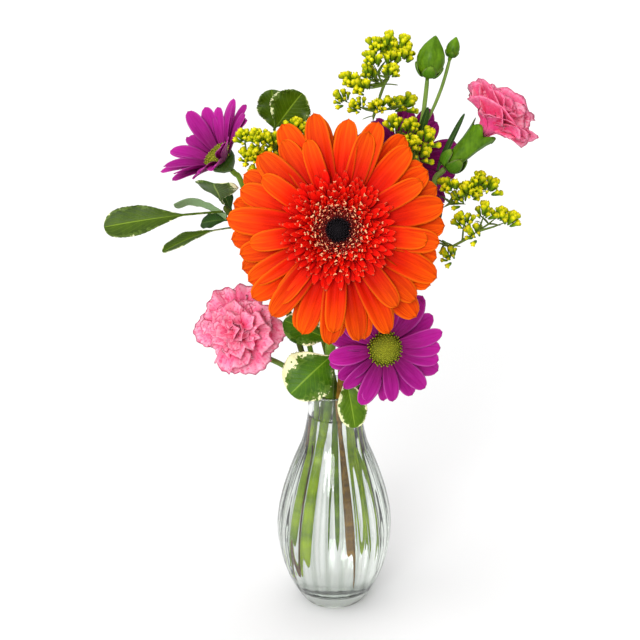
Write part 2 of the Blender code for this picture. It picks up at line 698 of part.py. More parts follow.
def main():
    clearScene()
    stems = layStems()
    buildVase()
    buildWater(stems)
    for name, (route, radius, sides) in stems.items():
        buildStem(stemNode(name), route, radius, sides, "bark" if name.startswith("twig") else "stem")
    buildGerbera()
    for seed, name in enumerate(DAISIES):
        buildDaisy(name, 21 + seed)
    for seed, name in enumerate(CARNATIONS):
        buildCarnation(name, seed)

    budStem = buildBuds(stems["carnation_right"])

    front = (0.0, -1.0, 0.3)
    left = stems["twig_left"]
    buildLeaf("pittosporum_leaf_long", left, 0.975, (-112, -8, 87), 17, (0.1, -0.8, 0.6), "variegated",
              bend=3.0, widest=0.72, stalk=0.22)
    buildLeaf("pittosporum_leaf_edge", left, 0.86, (-84, -10, 75), 11, (0.0, -0.25, 1.0), "variegated",
              bend=3.0, stalk=0.3)
    buildLeaf("pittosporum_leaf_pale", left, 0.94, (-79, 3, 95), 14, (-0.2, 0.8, 0.55), "variegated",
              bend=7.0, stalk=0.15)
    buildLeaf("pittosporum_leaf_folded", left, 1.0, (-57, -24, 113), 22, (0.15, 0.6, 0.75), "variegated",
              fold=0.15, widest=0.7, stalk=0.15)
    buildLeaf("pittosporum_leaf_dark", left, 0.90, (-66, 6, 85), 11, (0.0, -0.6, 0.8), "leaf",
              bend=1.0, stalk=0.15)
    buildLeaf("pittosporum_leaf_small", left, 0.91, (-56, 7, 103), 8, (0.4, -0.8, 0.2), "leaf",
              stalk=0.15)
    top = stems["twig_top"]
    buildLeaf("pittosporum_leaf_top_light", top, 0.96, (-31, 17, 149), 16, front, "variegated",
              stalk=0.1)
    buildLeaf("pittosporum_leaf_top_dark", top, 1.0, (-16, 8, 149), 21, (0.1, -1.0, 0.2), "variegated",
              widest=0.5, stalk=0.08)
    low = stems["twig_low"]
    buildLeaf("pittosporum_leaf_low_big", low, 0.97, (-22, -26, 7), 28, (-0.3, -0.9, 0.35), "variegated",
              bend=2.0, widest=0.5, stalk=0.08)
    buildLeaf("pittosporum_leaf_low_curled", low, 1.0, (-25, -22, 44), 17, (-0.2, -0.9, 0.3),
              "variegated", bend=-2.0, stalk=0.15)
    buildLeaf("pittosporum_leaf_low_small", low, 0.93, (10, -23, 27), 9, front, "variegated", stalk=0.1)
    buildLeaf("pittosporum_leaf_rim", low, 0.86, (10, -24, -12), 15, (0.1, -1.0, 0.3), "variegated",
              bend=4.0, stalk=0.15)
    right = stems["carnation_right"]
    buildLeaf("carnation_leaf_upper", right, 0.84, (63, 18, 137), 4, (-0.7, -0.6, 0.3), "leaf",
              widest=0.3, stalk=0.05)
    buildLeaf("carnation_leaf_behind", right, 0.66, (52, 13, 93), 9, front, "leaf", stalk=0.1)
    carnation = stems["carnation_left"]
    buildLeaf("carnation_leaf_low", carnation, 0.74, (-32, 5, 30), 6, front, "leaf",
              widest=0.4, stalk=0.05)
    buildLeaf("carnation_bud_leaf", budStem, 0.60, (44.5, 8.5, 142), 4, (0.2, -1.0, 0.2), "leaf",
              widest=0.35, stalk=0.05)

    upper = stems["goldenrod_top"]
    outer = stems["goldenrod_right"]
    buildSpray("goldenrod_spray_top", upper, 1.0, [(19.5, 12.5, 141), (24, 15.5, 153), (28, 18, 166)], (
        clump(1.0, (26, 18, 171), (32, 18, 170), (20, 20, 168), (33, 15, 165))
        + clump(0.62, (18, 18, 162), (27, 13, 158), (16, 21, 155), (8, 16, 153), (13, 14, 150))
        + clump(0.25, (3, 17, 144), (11, 15, 141), (21, 14, 141), (29, 21, 140), (35, 18, 141))
    ))
    buildSpray("goldenrod_spray_middle", upper, 0.90, [(24, 11, 118), (32, 8, 123)], (
        clump(1.0, (29, 8, 133), (36, 7, 132), (37, 4, 125)) + clump(0.8, (44, 4, 127), (42, 5, 119))
    ))
    buildSpray("goldenrod_spray_left", upper, 0.70, [(-2, 5, 94), (-15, 2, 110), (-29, -5, 118)], (
        clump(1.0, (-42, -11, 122), (-36, -10, 122), (-37, -9, 113)) + clump(0.7, (-19, -2, 125))
    ))
    buildSpray("goldenrod_spray_right_upper", outer, 1.0, [(60, 6, 97), (70, 6, 100)], (
        clump(0.5, (56, 5, 103), (65, 5, 101)) + clump(1.0, (70, 7, 105), (76, 6, 102))
    ))
    buildSpray("goldenrod_spray_right_lower", outer, 0.86, [(58, 2.5, 74), (70, 2, 82)], (
        clump(0.7, (63, 3, 86)) + clump(1.0, (73, 2, 91), (80, 4, 89), (85, 2, 87))
        + clump(0.35, (56, 1, 69))
    ))


main()
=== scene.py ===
import json
import math
import random

import bmesh
import bpy
import numpy as np
from mathutils import Matrix, Vector, noise
from mathutils.bvhtree import BVHTree

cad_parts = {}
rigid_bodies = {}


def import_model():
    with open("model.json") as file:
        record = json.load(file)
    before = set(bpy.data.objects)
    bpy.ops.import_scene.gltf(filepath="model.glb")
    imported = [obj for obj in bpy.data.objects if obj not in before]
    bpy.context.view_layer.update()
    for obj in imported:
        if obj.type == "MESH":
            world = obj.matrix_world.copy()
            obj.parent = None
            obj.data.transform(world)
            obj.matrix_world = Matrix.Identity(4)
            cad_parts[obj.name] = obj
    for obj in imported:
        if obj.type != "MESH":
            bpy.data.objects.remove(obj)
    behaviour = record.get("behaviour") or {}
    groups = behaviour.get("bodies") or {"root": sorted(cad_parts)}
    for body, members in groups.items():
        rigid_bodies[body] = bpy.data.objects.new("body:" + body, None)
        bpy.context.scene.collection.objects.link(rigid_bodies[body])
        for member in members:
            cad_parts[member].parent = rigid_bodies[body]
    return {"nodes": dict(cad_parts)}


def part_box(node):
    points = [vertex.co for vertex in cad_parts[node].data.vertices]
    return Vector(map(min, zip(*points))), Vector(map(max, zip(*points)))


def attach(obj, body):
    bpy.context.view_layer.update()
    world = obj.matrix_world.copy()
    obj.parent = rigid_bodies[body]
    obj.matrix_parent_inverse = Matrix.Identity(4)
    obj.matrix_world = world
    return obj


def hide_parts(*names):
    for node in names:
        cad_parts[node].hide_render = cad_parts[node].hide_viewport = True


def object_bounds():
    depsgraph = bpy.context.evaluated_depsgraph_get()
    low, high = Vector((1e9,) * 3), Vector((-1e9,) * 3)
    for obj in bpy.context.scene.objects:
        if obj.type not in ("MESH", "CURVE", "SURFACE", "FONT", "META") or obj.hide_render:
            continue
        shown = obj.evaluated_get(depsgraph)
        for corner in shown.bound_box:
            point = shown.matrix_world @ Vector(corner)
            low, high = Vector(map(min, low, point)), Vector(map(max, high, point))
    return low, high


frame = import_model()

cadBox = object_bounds()
scene = bpy.context.scene
mm = 0.001
ribCount = 24  # of the vase, in its walls and in its glass


# Camera, light and floor

studio = {
    "aimShift": (0.0006, 0.0, 0.0078),  # from the middle of the CAD box
    "distance": 0.75,
    "lookDown": 20.0,
    "lens": 84.375,
    "worldLight": 0.64,
    "floorSize": 6.0,
}


def setUpStudio():
    low, high = (Vector(c) for c in cadBox)
    aim = (low + high) / 2 + Vector(studio["aimShift"])
    aim.y = 0.0
    down = math.radians(studio["lookDown"])
    lens = bpy.data.cameras.new("camera")
    lens.lens = studio["lens"]
    lens.clip_start = 0.01
    camera = bpy.data.objects.new("camera", lens)
    camera.location = aim + Vector((0, -math.cos(down), math.sin(down))) * studio["distance"]
    camera.rotation_euler = (math.radians(90) - down, 0, 0)
    scene.collection.objects.link(camera)
    scene.camera = camera
    scene.view_settings.view_transform = "Standard"
    scene.view_settings.look = "None"

    world = bpy.data.worlds.new("studioAir")
    world.use_nodes = True
    air = world.node_tree.nodes["Background"]
    air.inputs["Color"].default_value = (1.0, 1.0, 1.0, 1.0)
    air.inputs["Strength"].default_value = studio["worldLight"]
    scene.world = world

    # where it shines from, strength, how wide it spreads in degrees
    for name, place, strength, spread in (
        ("keyLight", (-0.26, -0.88, 0.38), 1.70, 26.0),
        ("fillLight", (-0.80, -0.45, 0.90), 1.00, 70.0),
        ("backLight", (0.15, 0.50, 1.00), 0.55, 60.0),
    ):
        lamp = bpy.data.lights.new(name, "SUN")
        lamp.energy = strength
        lamp.angle = math.radians(spread)
        holder = bpy.data.objects.new(name, lamp)
        holder.location = place
        holder.rotation_euler = (-Vector(place)).to_track_quat("-Z", "Y").to_euler()
        scene.collection.objects.link(holder)


# Small tools for node trees

def screen(red, green, blue):
    # a screen colour from 0 to 255, as the linear colour that a shader takes
    parts = []
    for part in (red, green, blue):
        part /= 255
        parts.append(((part + 0.055) / 1.055) ** 2.4 if part > 0.04045 else part / 12.92)
    return (*parts, 1.0)


def addNode(tree, kind, sockets=None, **settings):
    made = tree.nodes.new(kind)
    for key, value in settings.items():
        setattr(made, key, value)
    for key, value in (sockets or {}).items():
        socket = made.inputs[key]
        if isinstance(value, bpy.types.NodeSocket):
            tree.links.new(value, socket)
        elif value is not None:
            socket.default_value = value
    return made


def calc(tree, operation, *values):
    made = addNode(tree, "ShaderNodeMath", dict(enumerate(values)), operation=operation)
    return made.outputs[0]


def blendColour(tree, factor, low, high, mode="MIX"):
    # three numbers are a screen colour from 0 to 255, four are linear already
    low, high = (screen(*c) if isinstance(c, tuple) and len(c) == 3 else c for c in (low, high))
    made = addNode(
        tree, "ShaderNodeMix", {0: factor, 6: low, 7: high}, data_type="RGBA", blend_type=mode
    )
    return made.outputs[2]


def overlay(tree, colour, over, mask, amount):
    return blendColour(tree, calc(tree, "MULTIPLY", mask, amount), colour, over)


def colourRamp(tree, factor, stops):
    made = addNode(tree, "ShaderNodeValToRGB", {"Fac": factor})
    ramp = made.color_ramp
    while len(ramp.elements) < len(stops):
        ramp.elements.new(0.5)
    for element, (place, colour) in zip(ramp.elements, stops):
        element.position = place
        element.color = screen(*colour)
    return made.outputs["Color"]


def mapRange(tree, value, fromLow, fromHigh, toLow=0.0, toHigh=1.0):
    made = addNode(tree, "ShaderNodeMapRange", {
        "Value": value, "From Min": fromLow, "From Max": fromHigh, "To Min": toLow, "To Max": toHigh,
    })
    return made.outputs["Result"]


def fromHalf(tree, value):
    # how far a value from 0 to 1 is from its middle
    return calc(tree, "ABSOLUTE", calc(tree, "SUBTRACT", value, 0.5))


def shiftBy(tree, base, value, amount):
    # a value from 0 to 1 moves the base down or up
    return calc(tree, "MULTIPLY_ADD", calc(tree, "SUBTRACT", value, 0.5), amount, base)


def joinParts(tree, *parts):
    return addNode(tree, "ShaderNodeCombineXYZ", dict(enumerate(parts))).outputs[0]


def splitParts(tree, vector):
    return addNode(tree, "ShaderNodeSeparateXYZ", {0: vector}).outputs


def stretch(tree, place, factors):
    return addNode(tree, "ShaderNodeVectorMath", {0: place, 1: factors}, operation="MULTIPLY").outputs[0]


def noiseOn(tree, place, scale, detail, roughness=0.5):
    return addNode(tree, "ShaderNodeTexNoise", {
        "Vector": place, "Scale": scale, "Detail": detail, "Roughness": roughness,
    }).outputs["Fac"]


def startGroup(name, kind, inputs, outputs):
    tree = bpy.data.node_groups.new(name, kind)
    for label, socketKind, value in inputs:
        socket = tree.interface.new_socket(name=label, in_out="INPUT", socket_type=socketKind)
        if value is not None:
            socket.default_value = value
    for label, socketKind in outputs:
        tree.interface.new_socket(name=label, in_out="OUTPUT", socket_type=socketKind)
    return tree, tree.nodes.new("NodeGroupInput").outputs, tree.nodes.new("NodeGroupOutput")


# Shared shader groups

def makeFibreGroup():
    # long thin streaks along a petal, leaf or stem
    tree, given, out = startGroup("fibreStreaks", "ShaderNodeTree", [
        ("Vector", "NodeSocketVector", None), ("Across", "NodeSocketFloat", 30.0),
        ("Along", "NodeSocketFloat", 1.5), ("Sharpness", "NodeSocketFloat", 2.0),
    ], [("Mask", "NodeSocketFloat")])
    factors = joinParts(tree, given["Across"], given["Along"], given["Along"])
    place = stretch(tree, given["Vector"], factors)
    centred = calc(tree, "SUBTRACT", noiseOn(tree, place, 1.0, 3.0, 0.6), 0.5)
    lifted = calc(tree, "MULTIPLY_ADD", centred, given["Sharpness"], 0.5)
    tree.links.new(addNode(tree, "ShaderNodeClamp", {0: lifted}).outputs[0], out.inputs["Mask"])
    return tree


def makeMottleGroup():
    # soft uneven patches, as a mask from 0 to 1
    tree, given, out = startGroup("mottlePatches", "ShaderNodeTree", [
        ("Vector", "NodeSocketVector", None), ("Scale", "NodeSocketFloat", 200.0),
        ("Detail", "NodeSocketFloat", 4.0), ("Low", "NodeSocketFloat", 0.4),
        ("High", "NodeSocketFloat", 0.6),
    ], [("Mask", "NodeSocketFloat")])
    patch = noiseOn(tree, given["Vector"], given["Scale"], given["Detail"], 0.6)
    tree.links.new(mapRange(tree, patch, given["Low"], given["High"]), out.inputs["Mask"])
    return tree


fibreStreaks = makeFibreGroup()
mottlePatches = makeMottleGroup()


def useGroup(tree, group, sockets):
    return addNode(tree, "ShaderNodeGroup", sockets, node_tree=group).outputs[0]


def streaksOn(tree, place, across, along, sharpness):
    return useGroup(tree, fibreStreaks, {
        "Vector": place, "Across": across, "Along": along, "Sharpness": sharpness,
    })


def patchesOn(tree, place, scale, detail, low=0.35, high=0.65):
    return useGroup(tree, mottlePatches, {
        "Vector": place, "Scale": scale, "Detail": detail, "Low": low, "High": high,
    })


def startMaterial(name, **sockets):
    material = bpy.data.materials.new(name)
    material.use_nodes = True
    tree = material.node_tree
    shader = tree.nodes["Principled BSDF"]
    for key, value in sockets.items():
        shader.inputs[key].default_value = value
    return material, tree, shader


def objectPlace(tree):
    return addNode(tree, "ShaderNodeTexCoord").outputs["Object"]


def surfaceMap(tree):
    # a piece's own map: x across from 0 to 1, y along from 0 to 1
    place = addNode(tree, "ShaderNodeUVMap", uv_map="growthMap").outputs[0]
    across, along = splitParts(tree, place)[:2]
    return place, across, along


def readValue(tree, name):
    return addNode(tree, "ShaderNodeAttribute", attribute_name=name).outputs["Fac"]


def toned(tree, colour, low, high, also=None):
    # each petal or floret a little lighter or darker than the next
    dim = mapRange(tree, readValue(tree, "shade"), 0.0, 1.0, low, high)
    if also is not None:
        dim = calc(tree, "MULTIPLY", dim, also)
    return blendColour(tree, 1.0, colour, joinParts(tree, dim, dim, dim), "MULTIPLY")


def paint(tree, shader, colour):
    tree.links.new(colour, shader.inputs["Base Color"])


def bump(tree, shader, height, strength, distance=0.0004):
    made = addNode(tree, "ShaderNodeBump", {
        "Height": height, "Strength": strength, "Distance": distance,
    })
    tree.links.new(made.outputs[0], shader.inputs["Normal"])


# Materials

def makePetalLook(name, stops, vein, veinMix, streaks, roughness, edge, soft):
    # colour from root to tip, streaked lengthwise, with another colour along the edges; on the gerbera
    # and the daisies that lighter edge is partly the petals' own margin and partly painted highlight
    material, tree, shader = startMaterial(name, **{
        "Roughness": roughness, "Subsurface Weight": soft, "Subsurface Scale": 0.003,
        "Subsurface Radius": (1.0, 0.35, 0.2), "Specular IOR Level": 0.06,
    })
    place, across, along = surfaceMap(tree)
    fine = streaksOn(tree, place, streaks, 1.6, 2.6)
    own = addNode(tree, "ShaderNodeVectorMath", {
        0: place, 1: joinParts(tree, readValue(tree, "shade")),
    }, operation="ADD").outputs[0]
    broad = mapRange(tree, patchesOn(tree, own, 3.0, 2.0), 0.0, 1.0, 0.92, 1.05)
    colour = overlay(tree, colourRamp(tree, along, stops), vein, fine, veinMix)
    colour = toned(tree, colour, 0.76, 1.10, broad)
    # lighter edge: partly the petals' own margin, partly painted highlight on the lit edges
    rim = mapRange(tree, fromHalf(tree, across), 0.40, 0.5)
    rim = calc(tree, "MULTIPLY", rim, mapRange(tree, along, 0.2, 0.7))
    paint(tree, shader, overlay(tree, colour, edge, rim, 0.6))
    bump(tree, shader, fine, 0.35)
    return material


paintedLightBand = (0.112, 0.096)  # a stem is painted paler between these heights, in metres: painted light for what the glass and water keep from it, partly the stem's own paler base


def makePlantLook(name, dark, light, roughness, wet=None):
    # stems, calyxes and buds: streaks that run up the plant, with soft patches
    material, tree, shader = startMaterial(name, **{"Roughness": roughness, "Specular IOR Level": 0.14})
    place = objectPlace(tree)
    grain = noiseOn(tree, stretch(tree, place, (900.0, 900.0, 60.0)), 1.0, 3.0)
    soft = patchesOn(tree, place, 120.0, 3.0)
    mixed = calc(tree, "MULTIPLY_ADD", grain, 0.6, calc(tree, "MULTIPLY", soft, 0.45))
    colour = blendColour(tree, mixed, dark, light)
    if wet is not None:  # where the stem stands in the water it is painted paler: painted light for what the glass and water keep from it, partly the stem's own paler base
        pale = blendColour(tree, mixed, *wet)
        colour = blendColour(tree, mapRange(tree, splitParts(tree, place)[2], *paintedLightBand), colour, pale)
    paint(tree, shader, colour)
    bump(tree, shader, grain, 0.4, 0.0003)
    return material


def makeLeafLook(name, dark, light, vein, margin=None, marginWidth=0.0, lopsided=0.0, under=None):
    # midrib, side veins and, on the variegated ones, an uneven cream margin
    material, tree, shader = startMaterial(name, **{"Roughness": 0.38, "Specular IOR Level": 0.16})
    across, along = surfaceMap(tree)[1:]
    place = objectPlace(tree)
    off = fromHalf(tree, across)  # 0 at the midrib, 0.5 at the edge
    soft = patchesOn(tree, place, 260.0, 5.0, 0.35, 0.68)
    inward = mapRange(tree, off, 0.5, 0.0, 0.15, 0.75)
    colour = blendColour(tree, calc(tree, "MULTIPLY_ADD", soft, 0.32, inward), dark, light)
    # side veins leave the midrib slanting toward the tip
    slant = calc(tree, "SUBTRACT", calc(tree, "MULTIPLY", along, 11.0), calc(tree, "MULTIPLY", off, 7.0))
    sideVein = mapRange(tree, fromHalf(tree, calc(tree, "FRACT", slant)), 0.07, 0.0)
    colour = overlay(tree, colour, vein, sideVein, 0.35)
    if margin is not None:
        outward = shiftBy(tree, off, noiseOn(tree, place, 480.0, 3.0, 0.60), 0.50)
        outward = shiftBy(tree, outward, noiseOn(tree, place, 90.0, 1.0), 0.30)
        outward = shiftBy(tree, outward, across, marginWidth * lopsided)
        grey = mapRange(tree, outward, 0.38 - marginWidth, 0.42 - marginWidth)
        cream = mapRange(tree, outward, 0.5 - marginWidth, 0.53 - marginWidth)
        between = blendColour(tree, 0.5, colour, (140, 170, 70))
        colour = overlay(tree, colour, between, grey, 0.4)
        colour = blendColour(tree, cream, colour, margin)
    colour = blendColour(tree, mapRange(tree, off, 0.022, 0.008), colour, vein)
    if under is not None:
        colour = blendColour(tree, readValue(tree, "side"), colour, under)
    paint(tree, shader, colour)
    fine = noiseOn(tree, place, 1500.0, 2.0)
    bump(tree, shader, calc(tree, "SUBTRACT", fine, calc(tree, "MULTIPLY", sideVein, 0.8)), 0.35, 0.0003)
    return material


def makeTippedLook(name, stops, roughness):
    # small florets: colour from root to tip along their own map
    material, tree, shader = startMaterial(name, **{"Roughness": roughness, "Specular IOR Level": 0.12})
    soft = patchesOn(tree, objectPlace(tree), 700.0, 2.0)
    colour = colourRamp(tree, shiftBy(tree, surfaceMap(tree)[2], soft, 0.12), stops)
    paint(tree, shader, toned(tree, colour, 0.72, 1.12))
    bump(tree, shader, soft, 0.25, 0.0002)
    return material


def makeCarnationLook():
    # deep pink at the root, paler to the edge, broken by pale patches that are partly the petals' own
    # mottling and partly painted highlight, and by deeper flecks and streaks
    material, tree, shader = startMaterial("carnationPetal", **{
        "Roughness": 0.62, "Subsurface Weight": 0.15, "Subsurface Scale": 0.003,
        "Subsurface Radius": (1.0, 0.4, 0.4), "Specular IOR Level": 0.12,
    })
    place, _, along = surfaceMap(tree)
    world = objectPlace(tree)
    colour = colourRamp(tree, along, [
        (0.0, (214, 220, 160)), (0.14, (214, 16, 78)), (0.44, (246, 70, 128)),
        (0.80, (255, 134, 172)), (0.95, (255, 182, 204)), (1.0, (240, 60, 120)),
    ])
    streak = streaksOn(tree, place, 26.0, 3.0, 3.0)
    for mask, amount, over in (
        # pale patches: partly the petals' own mottling, partly painted highlight
        (patchesOn(tree, world, 150.0, 2.0, 0.42, 0.66), 0.50, (255, 182, 202)),
        (patchesOn(tree, world, 640.0, 5.0, 0.50, 0.62), 0.60, (240, 34, 108)),
        (streak, 0.45, (224, 20, 92)),
        (readValue(tree, "side"), 0.5, (252, 84, 152)),
    ):
        colour = overlay(tree, colour, over, mask, amount)
    paint(tree, shader, toned(tree, colour, 0.88, 1.04))
    bump(tree, shader, streak, 0.3)
    return material


def makeBarkLook(name, dark, light):
    material, tree, shader = startMaterial(name, Roughness=0.75)
    place = objectPlace(tree)
    grain = noiseOn(tree, stretch(tree, place, (700.0, 700.0, 140.0)), 1.0, 6.0)
    scar = patchesOn(tree, place, 300.0, 3.0, 0.45, 0.62)
    mask = calc(tree, "MULTIPLY_ADD", grain, 0.7, calc(tree, "MULTIPLY", scar, 0.35))
    paint(tree, shader, blendColour(tree, mask, dark, light))
    bump(tree, shader, grain, 0.7, 0.0005)
    return material


clearLooks = {
    "glass": (0.955, 0.975, 0.955, 1.0),
    "paintedShadeInGrooves": (0.56, 0.61, 0.55, 1.0),  # painted shade in the grooves, also at the lip and the foot, where it is partly the thick glass's own green
    "lip": (0.1168, 0.1182),  # heights between which the shade comes in, in metres
    "foot": (0.012, 0.003),
    "water": (0.98, 0.995, 0.985, 1.0),
    "paintedShadeAtWaterLine": (0.66, 0.74, 0.66, 1.0),  # painted shade where the surface meets the wall
    "waterLineHalf": 0.0002,
}


def startClear(name, colour, ior, roughness):
    return startMaterial(name, **{
        "Base Color": colour, "Roughness": roughness, "IOR": ior, "Transmission Weight": 1.0,
        "Metallic": 0.0, "Specular IOR Level": 0.34,
    })


def makeGlassLook():
    material, tree, shader = startClear("vaseGlass", clearLooks["glass"], 1.47, 0.02)
    place = objectPlace(tree)
    x, y, z = splitParts(tree, place)
    wave = calc(tree, "COSINE", calc(tree, "MULTIPLY", calc(tree, "ARCTAN2", y, x), float(ribCount)))
    # grooves, lip and foot painted darker: painted shade, at the thick foot partly the glass's own green
    groove = calc(tree, "MULTIPLY", mapRange(tree, wave, 0.2, -0.9), readValue(tree, "rib"))
    lip, foot = (mapRange(tree, z, *clearLooks[end]) for end in ("lip", "foot"))
    ends = calc(tree, "MAXIMUM", lip, foot)
    shade = calc(tree, "MAXIMUM", groove, calc(tree, "MULTIPLY", ends, 0.8))
    paint(tree, shader, blendColour(tree, shade, clearLooks["glass"], clearLooks["paintedShadeInGrooves"]))
    bump(tree, shader, noiseOn(tree, place, 45.0, 1.0), 0.05, 0.0015)
    smear = mapRange(tree, noiseOn(tree, place, 90.0, 3.0), 0.4, 0.8, 0.0, 0.02)
    tree.links.new(smear, shader.inputs["Roughness"])
    return material


def makeWaterLook():
    material, tree, shader = startClear("vaseWater", clearLooks["water"], 1.30, 0.0)
    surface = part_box("water")[1].z
    half = clearLooks["waterLineHalf"]
    # a darker band at the surface: painted shade for the line where the water meets the glass
    line = mapRange(tree, splitParts(tree, objectPlace(tree))[2], surface - half, surface + half)
    paint(tree, shader, blendColour(tree, line, clearLooks["water"], clearLooks["paintedShadeAtWaterLine"]))
    return material


def makeFloorLook():
    material, tree, shader = startMaterial("paleFloor", Roughness=0.9)
    cloud = patchesOn(tree, objectPlace(tree), 2.0, 2.0, 0.2, 0.8)
    paint(tree, shader, blendColour(tree, cloud, (0.90, 0.90, 0.90, 1.0), (0.93, 0.93, 0.93, 1.0)))
    return material


petalLooks = {
    "gerberaPetal": {
        "stops": [(0.0, (190, 2, 0)), (0.34, (216, 8, 0)), (0.54, (232, 38, 0)),
                  (0.80, (248, 78, 0)), (1.0, (252, 102, 0))],
        "vein": (186, 14, 0), "veinMix": 0.66, "streaks": 14.0, "roughness": 0.55,
        "edge": (255, 128, 16), "soft": 0.0,
    },
    "daisyPetal": {
        "stops": [(0.0, (82, 0, 50)), (0.25, (122, 0, 88)), (0.60, (152, 4, 118)),
                  (1.0, (172, 20, 136))],
        # the lighter vein streaks and edge colour are partly the petals' own paler veins and partly
        # painted sheen
        "vein": (208, 74, 184), "veinMix": 0.22, "streaks": 13.0, "roughness": 0.5,
        "edge": (230, 110, 204), "soft": 0.02,
    },
    # a darker copy of the daisy petal: painted shade for the daisy at the back, which sits in the shade
    # of the goldenrod
    "shadedDaisyPetal": {
        "stops": [(0.0, (76, 0, 46)), (0.25, (118, 4, 84)), (0.60, (150, 18, 114)),
                  (1.0, (176, 36, 140))],
        "vein": (66, 0, 50), "veinMix": 0.9, "streaks": 13.0, "roughness": 0.5,
        "edge": (170, 60, 140), "soft": 0.0,
    },
    "collar": {
        "stops": [(0.0, (52, 100, 8)), (0.6, (60, 108, 8)), (1.0, (120, 150, 50))],
        "vein": (100, 140, 40), "veinMix": 0.4, "streaks": 10.0, "roughness": 0.45,
        "edge": (186, 202, 130), "soft": 0.0,
    },
}
tippedLooks = {
    "gerberaFloret": {"roughness": 0.7, "stops": [
        (0.0, (160, 0, 0)), (0.40, (216, 4, 0)), (0.80, (242, 20, 0)), (0.93, (252, 44, 12)),
        (1.0, (255, 120, 84)),
    ]},
    "gerberaBase": {"roughness": 0.7, "stops": [
        (0.0, (150, 0, 0)), (0.6, (206, 6, 0)), (0.8, (120, 6, 2)), (1.0, (70, 4, 4)),
    ]},
    "gerberaAnther": {"roughness": 0.55, "stops": [
        (0.0, (150, 4, 0)), (0.60, (214, 30, 8)), (0.76, (246, 136, 88)), (1.0, (255, 196, 146)),
    ]},
    "gerberaHeart": {"roughness": 0.65, "stops": [
        (0.0, (84, 2, 4)), (0.55, (124, 8, 8)), (0.9, (224, 116, 96)), (1.0, (236, 150, 124)),
    ]},
    "gerberaEye": {"roughness": 0.6, "stops": [(0.0, (3, 2, 2)), (0.6, (10, 7, 9)), (1.0, (30, 24, 30))]},
    "daisyDisc": {"roughness": 0.6, "stops": [
        (0.0, (56, 62, 6)), (0.6, (104, 112, 14)), (1.0, (176, 180, 44)),
    ]},
    "goldenrod": {"roughness": 0.6, "stops": [
        (0.0, (56, 92, 8)), (0.40, (100, 134, 10)), (0.60, (176, 188, 4)), (0.80, (240, 228, 6)),
        (1.0, (255, 246, 80)),
    ]},
}
plantLooks = {
    # dark, light, roughness, and both colours again under water, painted paler there as painted light,
    # partly the stems' own paler base
    "sprayStalk": ((52, 74, 20), (112, 134, 46), 0.55),
    "greenStem": ((72, 112, 24), (134, 170, 56), 0.42, ((78, 130, 0), (216, 248, 2))),
    "paleStem": ((78, 112, 38), (128, 156, 72), 0.45, ((78, 130, 0), (212, 244, 12))),
    "calyx": ((18, 60, 0), (102, 148, 14), 0.42),
    "bract": ((40, 74, 16), (88, 122, 40), 0.5),
    "bud": ((26, 66, 0), (106, 148, 16), 0.36),
    "greenBark": ((50, 72, 8), (112, 132, 34), 0.6, ((60, 104, 0), (150, 190, 10))),
    "mossBark": ((34, 50, 10), (86, 100, 30), 0.6, ((60, 34, 0), (150, 96, 10))),
}
leafLooks = {
    # dark, light, vein, margin, width of the margin, how much wider on one side, underside
    "variegatedLeaf": (
        (18, 54, 0), (70, 114, 0), (116, 152, 36), (240, 240, 188), 0.09, -2.2, (112, 142, 84),
    ),
    "edgedLeaf": ((24, 46, 0), (70, 96, 0), (118, 144, 34), (226, 230, 178), 0.02, 0.0, (96, 126, 70)),
    "borderedLeaf": (
        (24, 58, 0), (86, 122, 2), (126, 156, 44), (236, 238, 184), 0.075, -0.6, (112, 142, 84),
    ),
    "foldedLeaf": ((22, 46, 2), (62, 92, 14), (140, 162, 80), (230, 232, 184), 0.04, 3.0),
    "paleLeaf": (
        (74, 106, 62), (112, 142, 94), (156, 180, 130), (224, 230, 190), 0.02, 0.0, (120, 148, 102),
    ),
    "darkLeaf": ((16, 42, 8), (46, 82, 22), (100, 128, 56), None, 0.0, 0.0, (96, 128, 74)),
}

looks = {
    "glass": makeGlassLook(),
    "water": makeWaterLook(),
    "carnationPetal": makeCarnationLook(),
    "bark": makeBarkLook("twigBark", (60, 30, 0), (200, 146, 4)),
    "darkBark": makeBarkLook("darkStemBark", (44, 26, 14), (96, 66, 34)),
    "floor": makeFloorLook(),
}
looks.update({name: makePetalLook(name, **values) for name, values in petalLooks.items()})
looks.update({name: makeTippedLook(name, **values) for name, values in tippedLooks.items()})
looks.update({name: makePlantLook(name, *values) for name, values in plantLooks.items()})
looks.update({name: makeLeafLook(name, *values) for name, values in leafLooks.items()})
print("materials made:", len(looks))


# Reading the CAD nodes

def nodePoints(node):
    mesh = frame["nodes"][node].data
    places = np.empty(len(mesh.vertices) * 3)
    mesh.vertices.foreach_get("co", places)
    return np.unique(places.reshape(-1, 3).round(6), axis=0)


def weldedCopy(node, quads=True):
    # the node's loose triangles, merged into one skin
    work = bmesh.new()
    work.from_mesh(frame["nodes"][node].data)
    bmesh.ops.remove_doubles(work, verts=work.verts, dist=2e-6)
    if quads:
        bmesh.ops.join_triangles(
            work, faces=work.faces, angle_face_threshold=0.9, angle_shape_threshold=3.1,
        )
    return work


def frameMatrix(centre, facing):
    # millimetres about a head's own centre, +Z the way it faces, to metres in the shared frame
    facing = facing.normalized()
    right = Vector((0, 0, 1)).cross(facing)
    if right.length < 0.2:
        right = Vector((1, 0, 0)) - facing * facing.x
    right.normalize()
    turn = Matrix((right, facing.cross(right), facing)).transposed().to_4x4()
    return Matrix.Translation(centre) @ turn @ Matrix.Scale(mm, 4)


def headFrame(low, high, level):
    # centre on the line through two round nodes, level with a third
    start = Vector(nodePoints(low).mean(0))
    facing = (Vector(nodePoints(high).mean(0)) - start).normalized()
    rise = (Vector(nodePoints(level).mean(0)) - start).dot(facing)
    return frameMatrix(start + facing * rise, facing)


